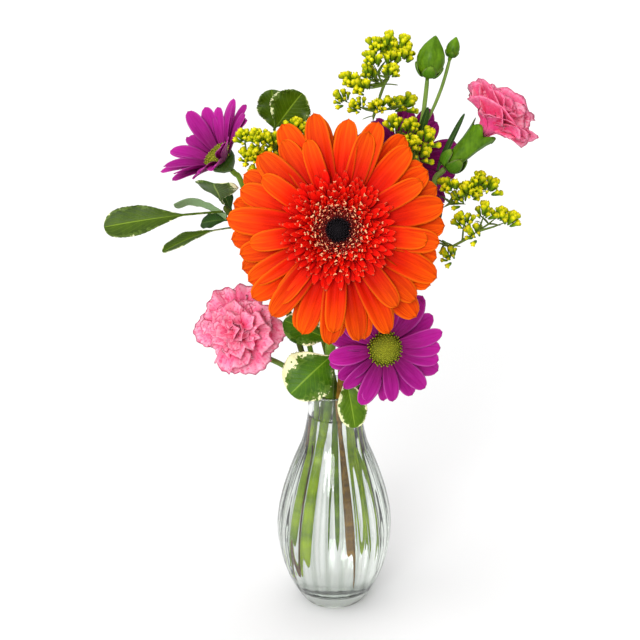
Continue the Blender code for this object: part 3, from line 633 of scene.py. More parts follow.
def reach(matrix, node):
    # lowest and highest level, and the radius, of a node about a head's axis, in millimetres
    inverse = matrix.inverted()
    places = [inverse @ Vector(p) for p in nodePoints(node)]
    heights = [p.z for p in places]
    return min(heights), max(heights), max(math.hypot(p.x, p.y) for p in places)


# Building meshes

def pieceName(node):
    first, *others = node.split("_")
    return first + "".join(word.capitalize() for word in others)


def linkPiece(name, mesh, look):
    piece = bpy.data.objects.new(name, mesh)
    scene.collection.objects.link(piece)
    mesh.materials.clear()
    mesh.materials.append(looks[look])
    mesh.shade_smooth()
    return piece


def addPiece(name, mesh, look, slot, *nodes):
    # a finished piece, with the CAD nodes that it stands for
    piece = linkPiece(name, mesh, look)
    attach(piece, "root")
    if nodes:
        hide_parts(*nodes)


def takeMesh(name, work):
    mesh = bpy.data.meshes.new(name)
    work.to_mesh(mesh)
    work.free()
    return mesh


def meshFrom(name, verts, faces, places=None, sides=None):
    # places: each vertex's own map (across, along); sides: 1 on the underside
    mesh = bpy.data.meshes.new(name)
    mesh.from_pydata([tuple(v) for v in verts], [], faces)
    if places is not None:
        layer = mesh.uv_layers.new(name="growthMap")
        for loop in mesh.loops:
            layer.data[loop.index].uv = places[loop.vertex_index]
    if sides is not None:
        mesh.attributes.new("side", "FLOAT", "POINT").data.foreach_set("value", sides)
    work = bmesh.new()
    work.from_mesh(mesh)
    bmesh.ops.remove_doubles(work, verts=work.verts, dist=1e-4)
    bmesh.ops.dissolve_degenerate(work, edges=work.edges, dist=1e-4)
    bmesh.ops.recalc_face_normals(work, faces=work.faces)
    work.to_mesh(mesh)
    work.free()
    return mesh


def sheetMesh(name, shape, rows, columns, thickness, ease=0.0):
    # a closed thin shell over shape(across -1..1, along 0..1), with knife edges
    grid = []
    places = []
    for i in range(rows + 1):
        t = i / rows
        along = t * (1 - ease) + math.sin(t * math.pi / 2) * ease  # closer rows toward the tip
        grid.append([Vector(shape(2 * j / columns - 1, along)) for j in range(columns + 1)])
        places += [(j / columns, along) for j in range(columns + 1)]
    verts = [p for row in grid for p in row]
    sides = [0.0] * len(verts)
    below = {}
    for i in range(1, rows):
        for j in range(1, columns):
            slope = grid[i + 1][j] - grid[i - 1][j]
            width = grid[i][j + 1] - grid[i][j - 1]
            normal = slope.cross(width).normalized()
            below[i, j] = len(verts)
            verts.append(grid[i][j] - normal * thickness)
            places.append(places[i * (columns + 1) + j])
            sides.append(1.0)
    wide = columns + 1
    faces = []
    for i in range(rows):
        for j in range(columns):
            corners = ((i, j), (i + 1, j), (i + 1, j + 1), (i, j + 1))
            top = [a * wide + b for a, b in corners]
            faces.append(tuple(top))
            faces.append(tuple(below.get(c, k) for c, k in reversed(list(zip(corners, top)))))
    return meshFrom(name, verts, faces, places, sides)


def latheMesh(name, profile, sides, shape=None):
    # profile rows of (radius, height), bottom to top or round a wall; radius 0 closes to a pole
    verts = []
    faces = []
    places = []
    rings = []
    for row, (radius, height) in enumerate(profile):
        along = row / (len(profile) - 1)
        if radius == 0:
            rings.append([len(verts)])
            verts.append((0, 0, height))
            places.append((0.5, along))
            continue
        ring = []
        for k in range(sides):
            angle = math.tau * k / sides
            out, lift = shape(row, angle) if shape else (1.0, 0.0)
            ring.append(len(verts))
            verts.append((
                radius * out * math.cos(angle), radius * out * math.sin(angle), height + lift,
            ))
            places.append((k / sides, along))
        rings.append(ring)
    for low, high in zip(rings, rings[1:]):
        for k in range(sides):
            n = (k + 1) % sides
            if len(low) == 1:
                faces.append((low[0], high[n], high[k]))
            elif len(high) == 1:
                faces.append((low[k], low[n], high[0]))
            else:
                faces.append((low[k], low[n], high[n], high[k]))
    for ring in (rings[0], rings[-1]):
        if len(ring) > 1:
            faces.append(tuple(ring))
    return meshFrom(name, verts, faces, places)


def evaluatedMesh(holder):
    return bpy.data.meshes.new_from_object(holder.evaluated_get(bpy.context.evaluated_depsgraph_get()))


# Geometry Nodes: one tree sets shapes round a head, the other scatters shapes on given points

def randomValue(tree, low, high, seed, offset):
    made = addNode(tree, "FunctionNodeRandomValue", {
        2: low, 3: high, 8: calc(tree, "ADD", seed, float(offset)),
    }, data_type="FLOAT")
    return made.outputs[1]


def mixValue(tree, factor, low, high):
    made = addNode(tree, "ShaderNodeMix", {0: factor, 2: low, 3: high}, data_type="FLOAT")
    return made.outputs[0]


def readPoints(tree, name, kind="FLOAT"):
    return addNode(tree, "GeometryNodeInputNamedAttribute", {"Name": name}, data_type=kind).outputs[0]


def onCircle(tree, radius, angle, height=None):
    return joinParts(
        tree, calc(tree, "MULTIPLY", radius, calc(tree, "COSINE", angle)),
        calc(tree, "MULTIPLY", radius, calc(tree, "SINE", angle)), height,
    )


def finishTree(tree, given, geometry, out):
    real = addNode(tree, "GeometryNodeRealizeInstances", {"Geometry": geometry})
    painted = addNode(tree, "GeometryNodeSetMaterial", {
        "Geometry": real.outputs[0], "Material": given["Material"],
    })
    tree.links.new(painted.outputs[0], out.inputs["Geometry"])


def placeShapes(tree, given, points, out, rotation, scale):
    # shared end of both trees: shade and variant at random, realize, material
    store = addNode(tree, "GeometryNodeStoreNamedAttribute", {
        "Geometry": points, "Name": "shade",
    }, data_type="FLOAT", domain="POINT")
    value = next(s for s in store.inputs if s.name == "Value" and s.enabled)
    tree.links.new(randomValue(tree, 0.0, 1.0, given["Seed"], 5), value)
    shapes = addNode(tree, "GeometryNodeCollectionInfo", {
        "Collection": given["Shapes"], "Separate Children": True, "Reset Children": True,
    })
    pick = addNode(tree, "FunctionNodeRandomValue", {
        4: 0, 5: calc(tree, "SUBTRACT", given["Variants"], 1.0), 8: given["Seed"],
    }, data_type="INT")
    spread = addNode(tree, "GeometryNodeInstanceOnPoints", {
        "Points": store.outputs["Geometry"], "Instance": shapes.outputs[0], "Pick Instance": True,
        "Instance Index": pick.outputs[2], "Rotation": rotation, "Scale": scale,
    })
    finishTree(tree, given, spread.outputs[0], out)


def makeHeadTree():
    number = "NodeSocketFloat"
    tree, given, out = startGroup("headOfShapes", "GeometryNodeTree", [
        ("Shapes", "NodeSocketCollection", None), ("Variants", "NodeSocketInt", 1),
        ("Count", "NodeSocketInt", 20), ("Turn", number, 137.508), ("Phase", number, 0.0),
        ("Inner Radius", number, 0.0), ("Outer Radius", number, 10.0),
        ("Inner Height", number, 0.0), ("Outer Height", number, 0.0),
        ("Inner Tilt", number, 60.0), ("Outer Tilt", number, 0.0),
        ("Inner Scale", number, 1.0), ("Outer Scale", number, 1.0),
        ("Wander", number, 0.3), ("Seed", "NodeSocketInt", 1), ("Material", "NodeSocketMaterial", None),
    ], [("Geometry", "NodeSocketGeometry")])
    points = addNode(tree, "GeometryNodePoints", {"Count": given["Count"]}).outputs[0]
    index = addNode(tree, "GeometryNodeInputIndex").outputs[0]
    last = calc(tree, "MAXIMUM", calc(tree, "SUBTRACT", given["Count"], 1.0), 1.0)
    share = calc(tree, "DIVIDE", index, last)

    def stray(size, offset):
        return calc(
            tree, "MULTIPLY", randomValue(tree, -size, size, given["Seed"], offset), given["Wander"]
        )

    def between(label):
        return mixValue(tree, share, given["Inner " + label], given["Outer " + label])

    inner = calc(tree, "POWER", given["Inner Radius"], 2.0)
    outer = calc(tree, "POWER", given["Outer Radius"], 2.0)
    radius = calc(tree, "SQRT", mixValue(tree, share, inner, outer))
    turn = calc(tree, "ADD", calc(tree, "MULTIPLY", index, given["Turn"]), given["Phase"])
    angle = calc(tree, "RADIANS", calc(tree, "ADD", turn, stray(8.0, 11)))
    height = calc(tree, "ADD", between("Height"), stray(0.6, 12))
    place = onCircle(tree, radius, angle, height)
    moved = addNode(tree, "GeometryNodeSetPosition", {"Geometry": points, "Position": place})
    tilt = calc(tree, "ADD", between("Tilt"), stray(14.0, 13))
    roll = calc(tree, "RADIANS", stray(28.0, 14))
    spin = joinParts(tree, roll, calc(tree, "RADIANS", calc(tree, "MULTIPLY", tilt, -1.0)), angle)
    size = calc(tree, "MULTIPLY", between("Scale"), calc(tree, "ADD", stray(0.22, 15), 1.0))
    placeShapes(tree, given, moved.outputs[0], out, spin, size)
    return tree


def makeScatterTree():
    # points carry their own turn (spin) and size
    tree, given, out = startGroup("shapesOnPoints", "GeometryNodeTree", [
        ("Geometry", "NodeSocketGeometry", None), ("Shapes", "NodeSocketCollection", None),
        ("Variants", "NodeSocketInt", 1), ("Seed", "NodeSocketInt", 1),
        ("Material", "NodeSocketMaterial", None),
    ], [("Geometry", "NodeSocketGeometry")])
    dots = addNode(tree, "GeometryNodeMeshToPoints", {"Mesh": given["Geometry"]})
    spin = readPoints(tree, "spin", "FLOAT_VECTOR")
    placeShapes(tree, given, dots.outputs[0], out, spin, readPoints(tree, "size"))
    return tree


headOfShapes = makeHeadTree()
shapesOnPoints = makeScatterTree()


def runTree(tree, name, values, points=None):
    host = bpy.data.objects.new(name, points or bpy.data.meshes.new(name))
    scene.collection.objects.link(host)
    modifier = host.modifiers.new(tree.name, "NODES")
    modifier.node_group = tree
    identifiers = {
        item.name: item.identifier for item in tree.interface.items_tree
        if item.item_type == "SOCKET" and item.in_out == "INPUT"
    }
    for label, value in values.items():
        modifier[identifiers[label]] = value
    host.update_tag()
    mesh = evaluatedMesh(host)
    host.modifiers.clear()
    bpy.data.objects.remove(host)
    return mesh


def setShapes(tree, name, meshes, look, values, points=None):
    # the tree picks from these meshes, in a collection of their own until it is done
    folder = bpy.data.collections.new(name + "Shapes")
    scene.collection.children.link(folder)
    for number, mesh in enumerate(meshes):
        folder.objects.link(bpy.data.objects.new(f"{name}Shapes{number}", mesh))
    values.update({"Shapes": folder, "Variants": len(meshes), "Material": looks[look]})
    made = runTree(tree, name, values, points)
    for shape in list(folder.objects):
        bpy.data.objects.remove(shape)
    bpy.data.collections.remove(folder)
    return made


def growHead(name, meshes, look, matrix, **values):
    # a pair of values is the one at the middle of the head and the one at its edge
    settings = {}
    for key, value in values.items():
        label = key.capitalize()
        if isinstance(value, tuple):
            settings["Inner " + label], settings["Outer " + label] = map(float, value)
        else:
            settings[label] = value
    mesh = setShapes(headOfShapes, name, meshes, look, settings)
    if matrix is not None:
        mesh.transform(matrix)
    return mesh


def level(value):
    # the same value at the middle and at the edge of a head
    return value, value


def joinMeshes(name, meshes):
    # several meshes of one finish as one mesh
    whole = bmesh.new()
    for mesh in meshes:
        whole.from_mesh(mesh)
    return takeMesh(name, whole)


def petalOutline(along, root, widest, blunt):
    # half width of a petal as a share of its greatest, narrow at the root and round at the tip
    if along < widest:
        return root + (1 - root) * math.sin(along / widest * math.pi / 2)
    return max(0.0, 1 - ((along - widest) / (1 - widest)) ** blunt) ** 0.5


def rayPetals(name, sizes, count, seed):
    # variants of one petal, along +X from its root, face up
    dice = random.Random(seed)
    meshes = []
    for number in range(count):
        bend = dice.uniform(0.6, 1.4)
        lean = dice.uniform(-1.0, 1.0)
        crease = dice.uniform(0.6, 1.3)
        long = sizes["length"] * dice.uniform(0.96, 1.03)
        broad = sizes["width"] * dice.uniform(0.92, 1.06)

        def shape(u, v):
            half = broad / 2 * petalOutline(v, sizes["root"], sizes["widest"], sizes["blunt"])
            notch = sizes["notch"] * math.cos(u * math.pi * 1.5) * v ** 8
            x = long * v + notch
            y = u * half + lean * 1.2 * v * v
            groove = sizes["groove"] * math.cos(u * math.pi * sizes["grooves"])
            groove *= math.sin(math.pi * min(v * 1.1, 1))
            cup = sizes["cup"] * (u * u) * math.sin(math.pi * v) * crease
            z = groove + cup + sizes["arch"] * math.sin(math.pi * v) - sizes["droop"] * bend * v ** 2.2
            z += lean * 0.7 * u * v
            return (x, y, z)

        meshes.append(sheetMesh(f"{name}{number}", shape, sizes["rows"], sizes["columns"],
                                sizes["thick"], ease=0.5))
    return meshes


# The vase and its water

vaseShape = {
    "ribDepth": 0.42,
    "turnSteps": 240,
    "levels": 84,
    "footRise": 1.0,  # how far the underside of the foot is hollowed
    "waterOverlap": 0.18,  # the water reaches this far into the wall, so that no air shows between
    "foot": ((0, 1.0), (0.45, 0.9), (0.72, 0.45), (0.84, 0.0), (0.93, 0.0)),  # shares of radius and rise
    "floor": ((0.86, 0.5), (0.6, 0.8), (0.3, 1.0), (0, 1.05)),  # share of the radius, drop in millimetres
    "ribsFrom": 0.01,  # share of the height where the ribs start, and the share that they take
    "ribsOver": 0.80,
    "lipSteps": 8,
    "waterClimb": ((0.0, 0.5), (0.35, 0.28), (0.9, 0.08), (2.0, 0.0)),  # distance from the wall, rise
}


def smoothed(values, passes):
    values = np.array(values, float)
    for _ in range(passes):
        values[1:-1] = values[1:-1] * 0.5 + (values[:-2] + values[2:]) * 0.25
    return values


def vaseWalls():
    # outer and inner radius at each level, found by looking from outside toward the axis
    mesh = frame["nodes"]["vase"].data
    tree = BVHTree.FromPolygons([v.co for v in mesh.vertices], [p.vertices for p in mesh.polygons])
    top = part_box("vase")[1].z
    inward = Vector((-1, 0, 0))
    heights = np.linspace(0.6 * mm, top - 1.2 * mm, vaseShape["levels"])
    outer = []
    inner = []
    for height in heights:
        hit = tree.ray_cast(Vector((0.1, 1e-5, height)), inward)[0]
        outer.append(hit.x)
        far = tree.ray_cast(hit + inward * 2e-5, inward)[0]
        inner.append(far.x if far is not None and far.x > 0.004 else 0.0)
    return heights / mm, smoothed(np.array(outer) / mm, 3), np.array(inner) / mm


def makeRibTree():
    tree, given, out = startGroup("vaseRibs", "GeometryNodeTree", [
        ("Geometry", "NodeSocketGeometry", None), ("Ribs", "NodeSocketFloat", float(ribCount)),
        ("Depth", "NodeSocketFloat", 0.5), ("Material", "NodeSocketMaterial", None),
    ], [("Geometry", "NodeSocketGeometry")])
    x, y = splitParts(tree, addNode(tree, "GeometryNodeInputPosition").outputs[0])[:2]
    angle = calc(tree, "ARCTAN2", y, x)
    wave = calc(tree, "COSINE", calc(tree, "MULTIPLY", angle, given["Ribs"]))
    dip = calc(tree, "MULTIPLY_ADD", wave, 0.5, -0.5)
    push = calc(tree, "MULTIPLY", calc(tree, "MULTIPLY", dip, given["Depth"]), readPoints(tree, "rib"))
    moved = addNode(tree, "GeometryNodeSetPosition", {
        "Geometry": given["Geometry"], "Offset": onCircle(tree, push, angle),
    })
    finishTree(tree, given, moved.outputs[0], out)
    return tree


def buildVase():
    heights, outer, inner = vaseWalls()
    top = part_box("vase")[1].z / mm
    foot = outer[0]
    floor = heights[np.argmax(inner > 0)]
    hollow = inner > 0
    innerHeights = heights[hollow]
    bore = smoothed(inner[hollow], 3)
    profile = [(foot * share, vaseShape["footRise"] * rise) for share, rise in vaseShape["foot"]]
    profile.append((foot * 0.985, 0.25))
    fades = {}  # how deep the ribs are at each height of the outer wall
    for height, radius in zip(heights, outer):
        profile.append((radius, height))
        share = (height / top - vaseShape["ribsFrom"]) / vaseShape["ribsOver"]
        if 0 < share < 1:
            fades[round(radius, 2), round(height, 2)] = math.sin(math.pi * share) ** 0.6
    rimOut, rimIn = outer[-1], bore[-1]
    middle, half = (rimOut + rimIn) / 2, (rimOut - rimIn) / 2
    for step in range(1, vaseShape["lipSteps"]):
        turn = math.pi * step / vaseShape["lipSteps"]
        lift = (top - heights[-1]) * math.sin(turn)
        profile.append((middle + half * math.cos(turn), heights[-1] + lift))
    profile += list(zip(bore[::-1], innerHeights[::-1]))
    profile += [(bore[0] * share, floor - drop) for share, drop in vaseShape["floor"]]
    mesh = latheMesh("vaseBlank", profile, vaseShape["turnSteps"])
    values = [
        fades.get((round(math.hypot(v.co.x, v.co.y), 2), round(v.co.z, 2)), 0.0) for v in mesh.vertices
    ]
    mesh.attributes.new("rib", "FLOAT", "POINT").data.foreach_set("value", values)
    glass = runTree(makeRibTree(), "vaseGlass", {
        "Ribs": float(ribCount), "Depth": vaseShape["ribDepth"], "Material": looks["glass"],
    }, mesh)
    glass.transform(Matrix.Scale(mm, 4))
    addPiece("vaseGlass", glass, "glass", "clear_glass", "vase")

    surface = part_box("water")[1].z / mm
    over = vaseShape["waterOverlap"]
    edge = float(np.interp(surface, innerHeights, bore)) + over
    profile = [(bore[0] * share, floor - drop - over) for share, drop in reversed(vaseShape["floor"])]
    profile += [(r + over, h) for r, h in zip(bore, innerHeights) if h < surface - 0.4]
    profile += [(edge - inside, surface + rise) for inside, rise in vaseShape["waterClimb"]]
    profile += [(edge * 0.5, surface), (0, surface)]
    body = latheMesh("waterBody", profile, 96)
    body.transform(Matrix.Scale(mm, 4))
    addPiece("waterBody", body, "water", "water", "water")
    print("vase and water:", len(glass.vertices), "points")


# Stems and twigs

stems = {
    # node: look, swell, roughness of the skin, how much slimmer inside the vase, all in millimetres
    "gerbera_stem": ("greenStem", 0.22, 0.05, 0.75),
    "daisy_left_stem": ("greenStem", 0.14, 0.05, 0.35),
    "daisy_low_stem": ("greenStem", 0.14, 0.05, 0.35),
    "daisy_back_stem": ("greenStem", 0.14, 0.05, 0.35),
    "carnation_left_stem": ("paleStem", 0.14, 0.05, 0.35),
    "carnation_right_stem": ("paleStem", 0.14, 0.05, 0.35),
    "carnation_bud_stem": ("paleStem", 0.10, 0.05, 0.35),
    "carnation_bud_side_stem": ("paleStem", 0.08, 0.05, 0.35),
    "goldenrod_top_stem": ("greenStem", 0.10, 0.05, 0.35),
    "goldenrod_right_stem": ("darkBark", 0.10, 0.22, 0.35),
    "twig_left": ("mossBark", 0.16, 0.22, 0.35),
    "twig_top": ("greenBark", 0.16, 0.22, 0.35),
    "twig_low": ("bark", 0.16, 0.22, 0.6),
}
slimBelow = 0.118  # the height below which stems get slimmer, and how far they take for it, in metres
slimOver = 0.02


def roundedSkin(node, swell, rough, slim):
    # a rounded skin over a CAD node, put back to its thickness
    name = pieceName(node)
    base = bpy.data.objects.new(name, takeMesh(name, weldedCopy(node)))
    scene.collection.objects.link(base)
    rounder = base.modifiers.new("rounder", "SUBSURF")
    rounder.levels = 2
    rounder.render_levels = 2
    skin = evaluatedMesh(base)
    bpy.data.objects.remove(base)
    for vertex, normal in zip(skin.vertices, [v.normal.copy() for v in skin.vertices]):
        push = swell + rough * noise.noise(vertex.co * 900.0)
        depth = (slimBelow - vertex.co.z) / slimOver
        vertex.co += normal * (push - slim * min(1.0, max(0.0, depth))) * mm
    return skin


def buildStems():
    for node, (look, swell, rough, slim) in stems.items():
        slot = "woody_bark" if node.startswith("twig") else "green_stem"
        addPiece(pieceName(node), roundedSkin(node, swell, rough, slim), look, slot, node)
    print("stems:", len(stems))


# The gerbera

gerberaPetal = {
    "length": 40.0, "width": 12.7, "root": 0.60, "widest": 0.58, "blunt": 3.2, "notch": 0.5,
    "groove": 0.42, "grooves": 3.0, "cup": 1.3, "arch": 1.4, "droop": 1.6,
    "thick": 0.40, "rows": 16, "columns": 12,
}
gerberaHead = {
    "stretch": (0.985, 1.055),  # the head is a little taller than it is wide
    # count, height, tilt, size, phase of each row of petals
    "rows": ((22, -0.8, -2.5, 0.99, 4.0), (20, 0.7, 1.0, 0.955, 13.0), (9, 1.8, 5.0, 0.80, 30.0)),
}


def floretStraps(name, count, seed, long, broad, curl):
    # short straps that fold up at the edges and curl over at the tip
    dice = random.Random(seed)
    meshes = []
    for number in range(count):
        length = long * dice.uniform(0.85, 1.1)
        lean = dice.uniform(-0.6, 0.6)
        lift = curl * dice.uniform(0.6, 1.3)

        def shape(u, v):
            half = broad / 2 * (0.55 + 0.45 * math.sin(math.pi * min(1.0, v * 0.9))) * (1 - v ** 6 * 0.6)
            rise = lift * v * v * length * 0.3 + 0.5 * u * u * broad * 0.5
            return (length * v, u * half + lean * v * v, rise)

        meshes.append(sheetMesh(f"{name}{number}", shape, 5, 4, 0.25))
    return meshes


def knobMesh(name, length, radius, sides=6, waist=0.5):
    # a small closed floret standing along +X
    profile = [(0, 0.0), (radius * waist, length * 0.05), (radius * waist, length * 0.5),
               (radius, length * 0.75), (radius * 0.8, length * 0.93), (0, length)]
    mesh = latheMesh(name, profile, sides)
    mesh.transform(Matrix.Rotation(math.radians(90), 4, "Y"))
    return mesh


def forkMesh(name, length, radius):
    # a filament with a split, curled tip, standing along +X
    rings = [(0.0, 0.0, 0.5), (0.6, 0.0, 0.5), (0.8, 0.0, 0.9), (0.93, 0.10, 1.1), (1.0, 0.20, 0.0)]
    verts = []
    faces = []
    places = []
    for lean in (-1, 1):
        previous = None
        for share, out, thick in rings:
            start = len(verts)
            count = 1 if thick == 0 else 5
            for k in range(count):
                angle = math.tau * k / count
                side = lean * (out * length * 0.7 + 0.12 * radius)
                verts.append((
                    length * share, side + radius * thick * math.cos(angle),
                    radius * thick * math.sin(angle) * 0.8 if thick else 0.0,
                ))
                places.append((k / count, share))
            if previous is not None:
                for k in range(5):
                    n = (k + 1) % 5
                    if count == 1:
                        faces.append((previous + k, previous + n, start))
                    else:
                        faces.append((previous + k, previous + n, start + n, start + k))
            else:
                faces.append(tuple(range(start, start + 5)))
            previous = start
    return meshFrom(name, verts, faces, places)


def buildGerbera():
    matrix = headFrame("gerbera_bracts", "gerbera_eye", "gerbera_back_rays")
    petals = rayPetals("gerberaPetal", gerberaPetal, 6, 3)
    radius = reach(matrix, "gerbera_back_rays")[2]
    root = radius - gerberaPetal["length"]
    shaped = matrix @ Matrix.Diagonal((*gerberaHead["stretch"], 1.0, 1.0))
    rows = []
    for number, (count, height, tilt, size, phase) in enumerate(gerberaHead["rows"]):
        rows.append(growHead(
            f"gerberaRow{number}", petals, "gerberaPetal", shaped, count=count, turn=360.0 / count,
            phase=phase, radius=level(root), height=level(height), tilt=level(tilt),
            scale=level(size), wander=0.36, seed=4 + number,
        ))
    addPiece("gerberaPetals", joinMeshes("gerberaPetals", rows), "gerberaPetal",
             "orange_petal", "gerbera_back_rays", "gerbera_front_rays")

    low, high, wide = reach(matrix, "gerbera_inner_florets")
    heart = latheMesh("gerberaHeart", [
        (0, low), (wide * 0.62, low + 0.2), (wide * 0.70, low + 1.0), (wide * 0.62, low + 2.0),
        (wide * 0.42, low + 3.0), (wide * 0.22, low + 3.2), (0, low + 2.6),
    ], 48)
    heart.transform(matrix)
    addPiece("gerberaHeart", heart, "gerberaBase", "red_floret")
    straps = floretStraps("gerberaStrap", 5, 8, 8.6, 3.4, 0.30)
    outer = growHead("gerberaStrapRing", straps, "gerberaFloret", matrix, count=250,
                     radius=(9.0, 19.6), height=(low + 2.6, low + 1.2), tilt=(46, 12),
                     scale=(0.62, 1.0), wander=0.6, seed=21)
    small = floretStraps("gerberaShort", 4, 9, 4.4, 1.9, 0.8)
    inner = growHead("gerberaShortRing", small, "gerberaFloret", matrix, count=170,
                     radius=(7.4, 15.0), height=level(low + 3.0), tilt=(66, 40),
                     scale=(0.60, 0.95), wander=1.0, seed=22)
    addPiece("gerberaFlorets", joinMeshes("gerberaFlorets", [outer, inner]), "gerberaFloret",
             "red_floret", "gerbera_inner_florets")
    forks = [forkMesh(f"gerberaFork{k}", 4.6 + k * 0.7, 0.40) for k in range(3)]
    near = growHead("gerberaNear", forks, "gerberaAnther", matrix, count=105,
                    radius=(6.6, 12.5), height=level(low + 3.0), tilt=(80, 68),
                    scale=(0.62, 0.95), wander=1.2, seed=23)
    far = growHead("gerberaFar", forks, "gerberaAnther", matrix, count=56,
                   radius=(12.0, 20.5), height=(low + 2.8, low + 2.0), tilt=(66, 40),
                   scale=(0.85, 0.70), wander=1.2, seed=24)
    addPiece("gerberaAnthers", joinMeshes("gerberaAnthers", [near, far]), "gerberaAnther", "red_floret")

    low, high, wide = reach(matrix, "gerbera_eye")
    wide *= 0.84
    knobs = [knobMesh(f"gerberaKnob{k}", 1.6 + 0.3 * k, 0.36) for k in range(3)]
    eye = growHead("gerberaEyeKnobs", knobs, "gerberaEye", matrix, count=210,
                   radius=(0.2, wide), height=(high - 2.4, low + 0.1), tilt=(88, 70),
                   scale=(0.9, 1.1), wander=0.5, seed=31)
    dome = latheMesh("gerberaEyeDome", [
        (0, low - 0.6), (wide * 0.9, low - 0.6), (wide * 0.96, low + 0.4), (wide * 0.7, high - 2.2),
        (wide * 0.35, high - 1.6), (0, high - 1.4),
    ], 32)
    dome.transform(matrix)
    addPiece("gerberaEye", joinMeshes("gerberaEye", [eye, dome]), "gerberaEye", "dark_eye", "gerbera_eye")
    hairs = [knobMesh(f"gerberaHair{k}", 3.0, 0.22, 5) for k in range(2)]
    ring = growHead("gerberaHairs", hairs, "gerberaHeart", matrix, count=330,
                    radius=(wide, wide * 1.95), height=(low - 0.4, low - 0.6), tilt=(80, 56),
                    scale=(0.8, 1.05), wander=1.0, seed=32)
    addPiece("gerberaHairs", ring, "gerberaHeart", "red_floret")
    buildBracts("gerberaBracts", "gerbera_bracts", matrix, 34, 8.5, 2.6)
    print("gerbera: 51 petals and its centre")


def buildBracts(name, node, matrix, count, long, broad):
    # the green cup under a head, with rows of narrow pointed scales lying on it
    low, high, wide = reach(matrix, node)

    def shape(u, v):
        half = broad / 2 * math.sin(math.pi * (0.12 + 0.88 * v) ** 0.75) ** 0.8
        return (long * v, u * half, 0.35 * u * u + 1.2 * math.sin(math.pi * v * 0.8))

    scales = [sheetMesh(name + "Scale", shape, 6, 4, 0.3)]
    depth = high - low
    leaves = growHead(name + "Scales", scales, "bract", matrix, count=count,
                      radius=(wide * 0.34, wide * 0.86), height=(low + depth * 0.05, high - depth * 0.30),
                      tilt=(42, 62), scale=(0.7, 0.95), wander=0.25, seed=41)
    cup = takeMesh(name + "Cup", weldedCopy(node))
    addPiece(name, joinMeshes(name, [cup, leaves]), "bract", "green_bract", node)


# The daisies

daisyPetal = {
    "length": 22.5, "width": 9.4, "root": 0.46, "widest": 0.58, "blunt": 2.2, "notch": 0.25,
    "groove": 0.34, "grooves": 3.0, "cup": 1.2, "arch": 0.6, "droop": 0.6,
    "thick": 0.35, "rows": 14, "columns": 10,
}
daisyHead = {
    "root": 6.2,  # radius where the petals start
    "rows": (0.55, 0.45),  # share of the petals in the back row and in the front row
    "rowLift": 0.9,
    "rowTilt": 6.0,
    "rowShrink": 0.06,
    "underDisc": 0.6,  # how far the back row is under the disc
}
daisies = {
    # name: petal tilt, count, petal width, seed, look
    "daisy_left": (32.0, 20, 7.6, 51, "daisyPetal"),
    "daisy_low": (2.0, 24, 9.4, 52, "daisyPetal"),
    # the back daisy takes the darker petal look, painted shade
    "daisy_back": (8.0, 20, 9.4, 53, "shadedDaisyPetal"),
}


def buildDaisies():
    knobs = [knobMesh(f"daisyKnob{k}", 1.7 + 0.2 * k, 0.50, 6, 0.7) for k in range(3)]
    for node, (tilt, count, broad, seed, look) in daisies.items():
        name = pieceName(node)
        petals = rayPetals(name + "Petal", dict(daisyPetal, width=broad), 6, seed)
        matrix = headFrame(node + "_bracts", node + "_disc", node + "_disc")
        low, high, wide = reach(matrix, node + "_disc")
        base = low - daisyHead["underDisc"]
        root = daisyHead["root"]
        reachOut = reach(matrix, node + "_rays")[2] - root
        size = reachOut / (daisyPetal["length"] * math.cos(math.radians(tilt)))
        rows = []
        for number, share in enumerate(daisyHead["rows"]):
            petalCount = round(count * share)
            rows.append(growHead(
                f"{name}Row{number}", petals, look, matrix, count=petalCount,
                turn=360.0 / petalCount, phase=17.0 * seed + 0.5 * number * 360.0 / petalCount,
                radius=level(root), height=level(base + daisyHead["rowLift"] * number),
                tilt=level(tilt + daisyHead["rowTilt"] * number),
                scale=(size, size * (1 - daisyHead["rowShrink"] * number)),
                wander=0.5, seed=seed + number,
            ))
        rays = joinMeshes(name + "Petals", rows)
        addPiece(name + "Petals", rays, look, "magenta_petal", node + "_rays")
        florets = growHead(name + "Florets", knobs, "daisyDisc", matrix, count=210,
                           radius=(0.2, wide), height=(high - 1.7, low + 0.6), tilt=(88, 30),
                           scale=(0.7, 0.85), wander=0.4, seed=seed)
        dome = latheMesh(name + "Dome", [
            (0, low - 0.4), (wide * 0.92, low - 0.2), (wide * 0.98, low + 1.2), (wide * 0.84, high - 2.3),
            (wide * 0.45, high - 1.3), (0, high - 1.0),
        ], 32)
        dome.transform(matrix)
        disc = joinMeshes(name + "Disc", [florets, dome])
        addPiece(name + "Disc", disc, "daisyDisc", "olive_disc", node + "_disc")
        buildBracts(name + "Bracts", node + "_bracts", matrix, 22, 5.0, 2.0)
    print("daisies:", len(daisies))


# The carnations and their buds

carnationPetals = {
    "frilled": {"radius": 19.0, "spread": 46.0, "frill": 0.85, "teeth": 0.075, "cup": 5.5, "columns": 22},
    "guard": {"radius": 18.4, "spread": 50.0, "frill": 0.26, "teeth": 0.06, "cup": 5.5, "columns": 24},
    "soft": {"radius": 24.0, "spread": 50.0, "frill": 0.42, "teeth": 0.05, "cup": 6.5, "columns": 22},
    "cupped": {"radius": 25.5, "spread": 56.0, "frill": 0.12, "teeth": 0.03, "cup": 6.0, "columns": 24},
}
carnations = {
    # name: inner and outer tilt, seed, petal count, petals, outermost ring (petals, count, tilt, wander)
    "carnation_left": (82.0, 8.0, 61, 20, "frilled", ("guard", 6, 4.0, 1.0)),
    "carnation_right": (86.0, 50.0, 67, 17, "soft", ("cupped", 9, 41.0, 0.3)),
}


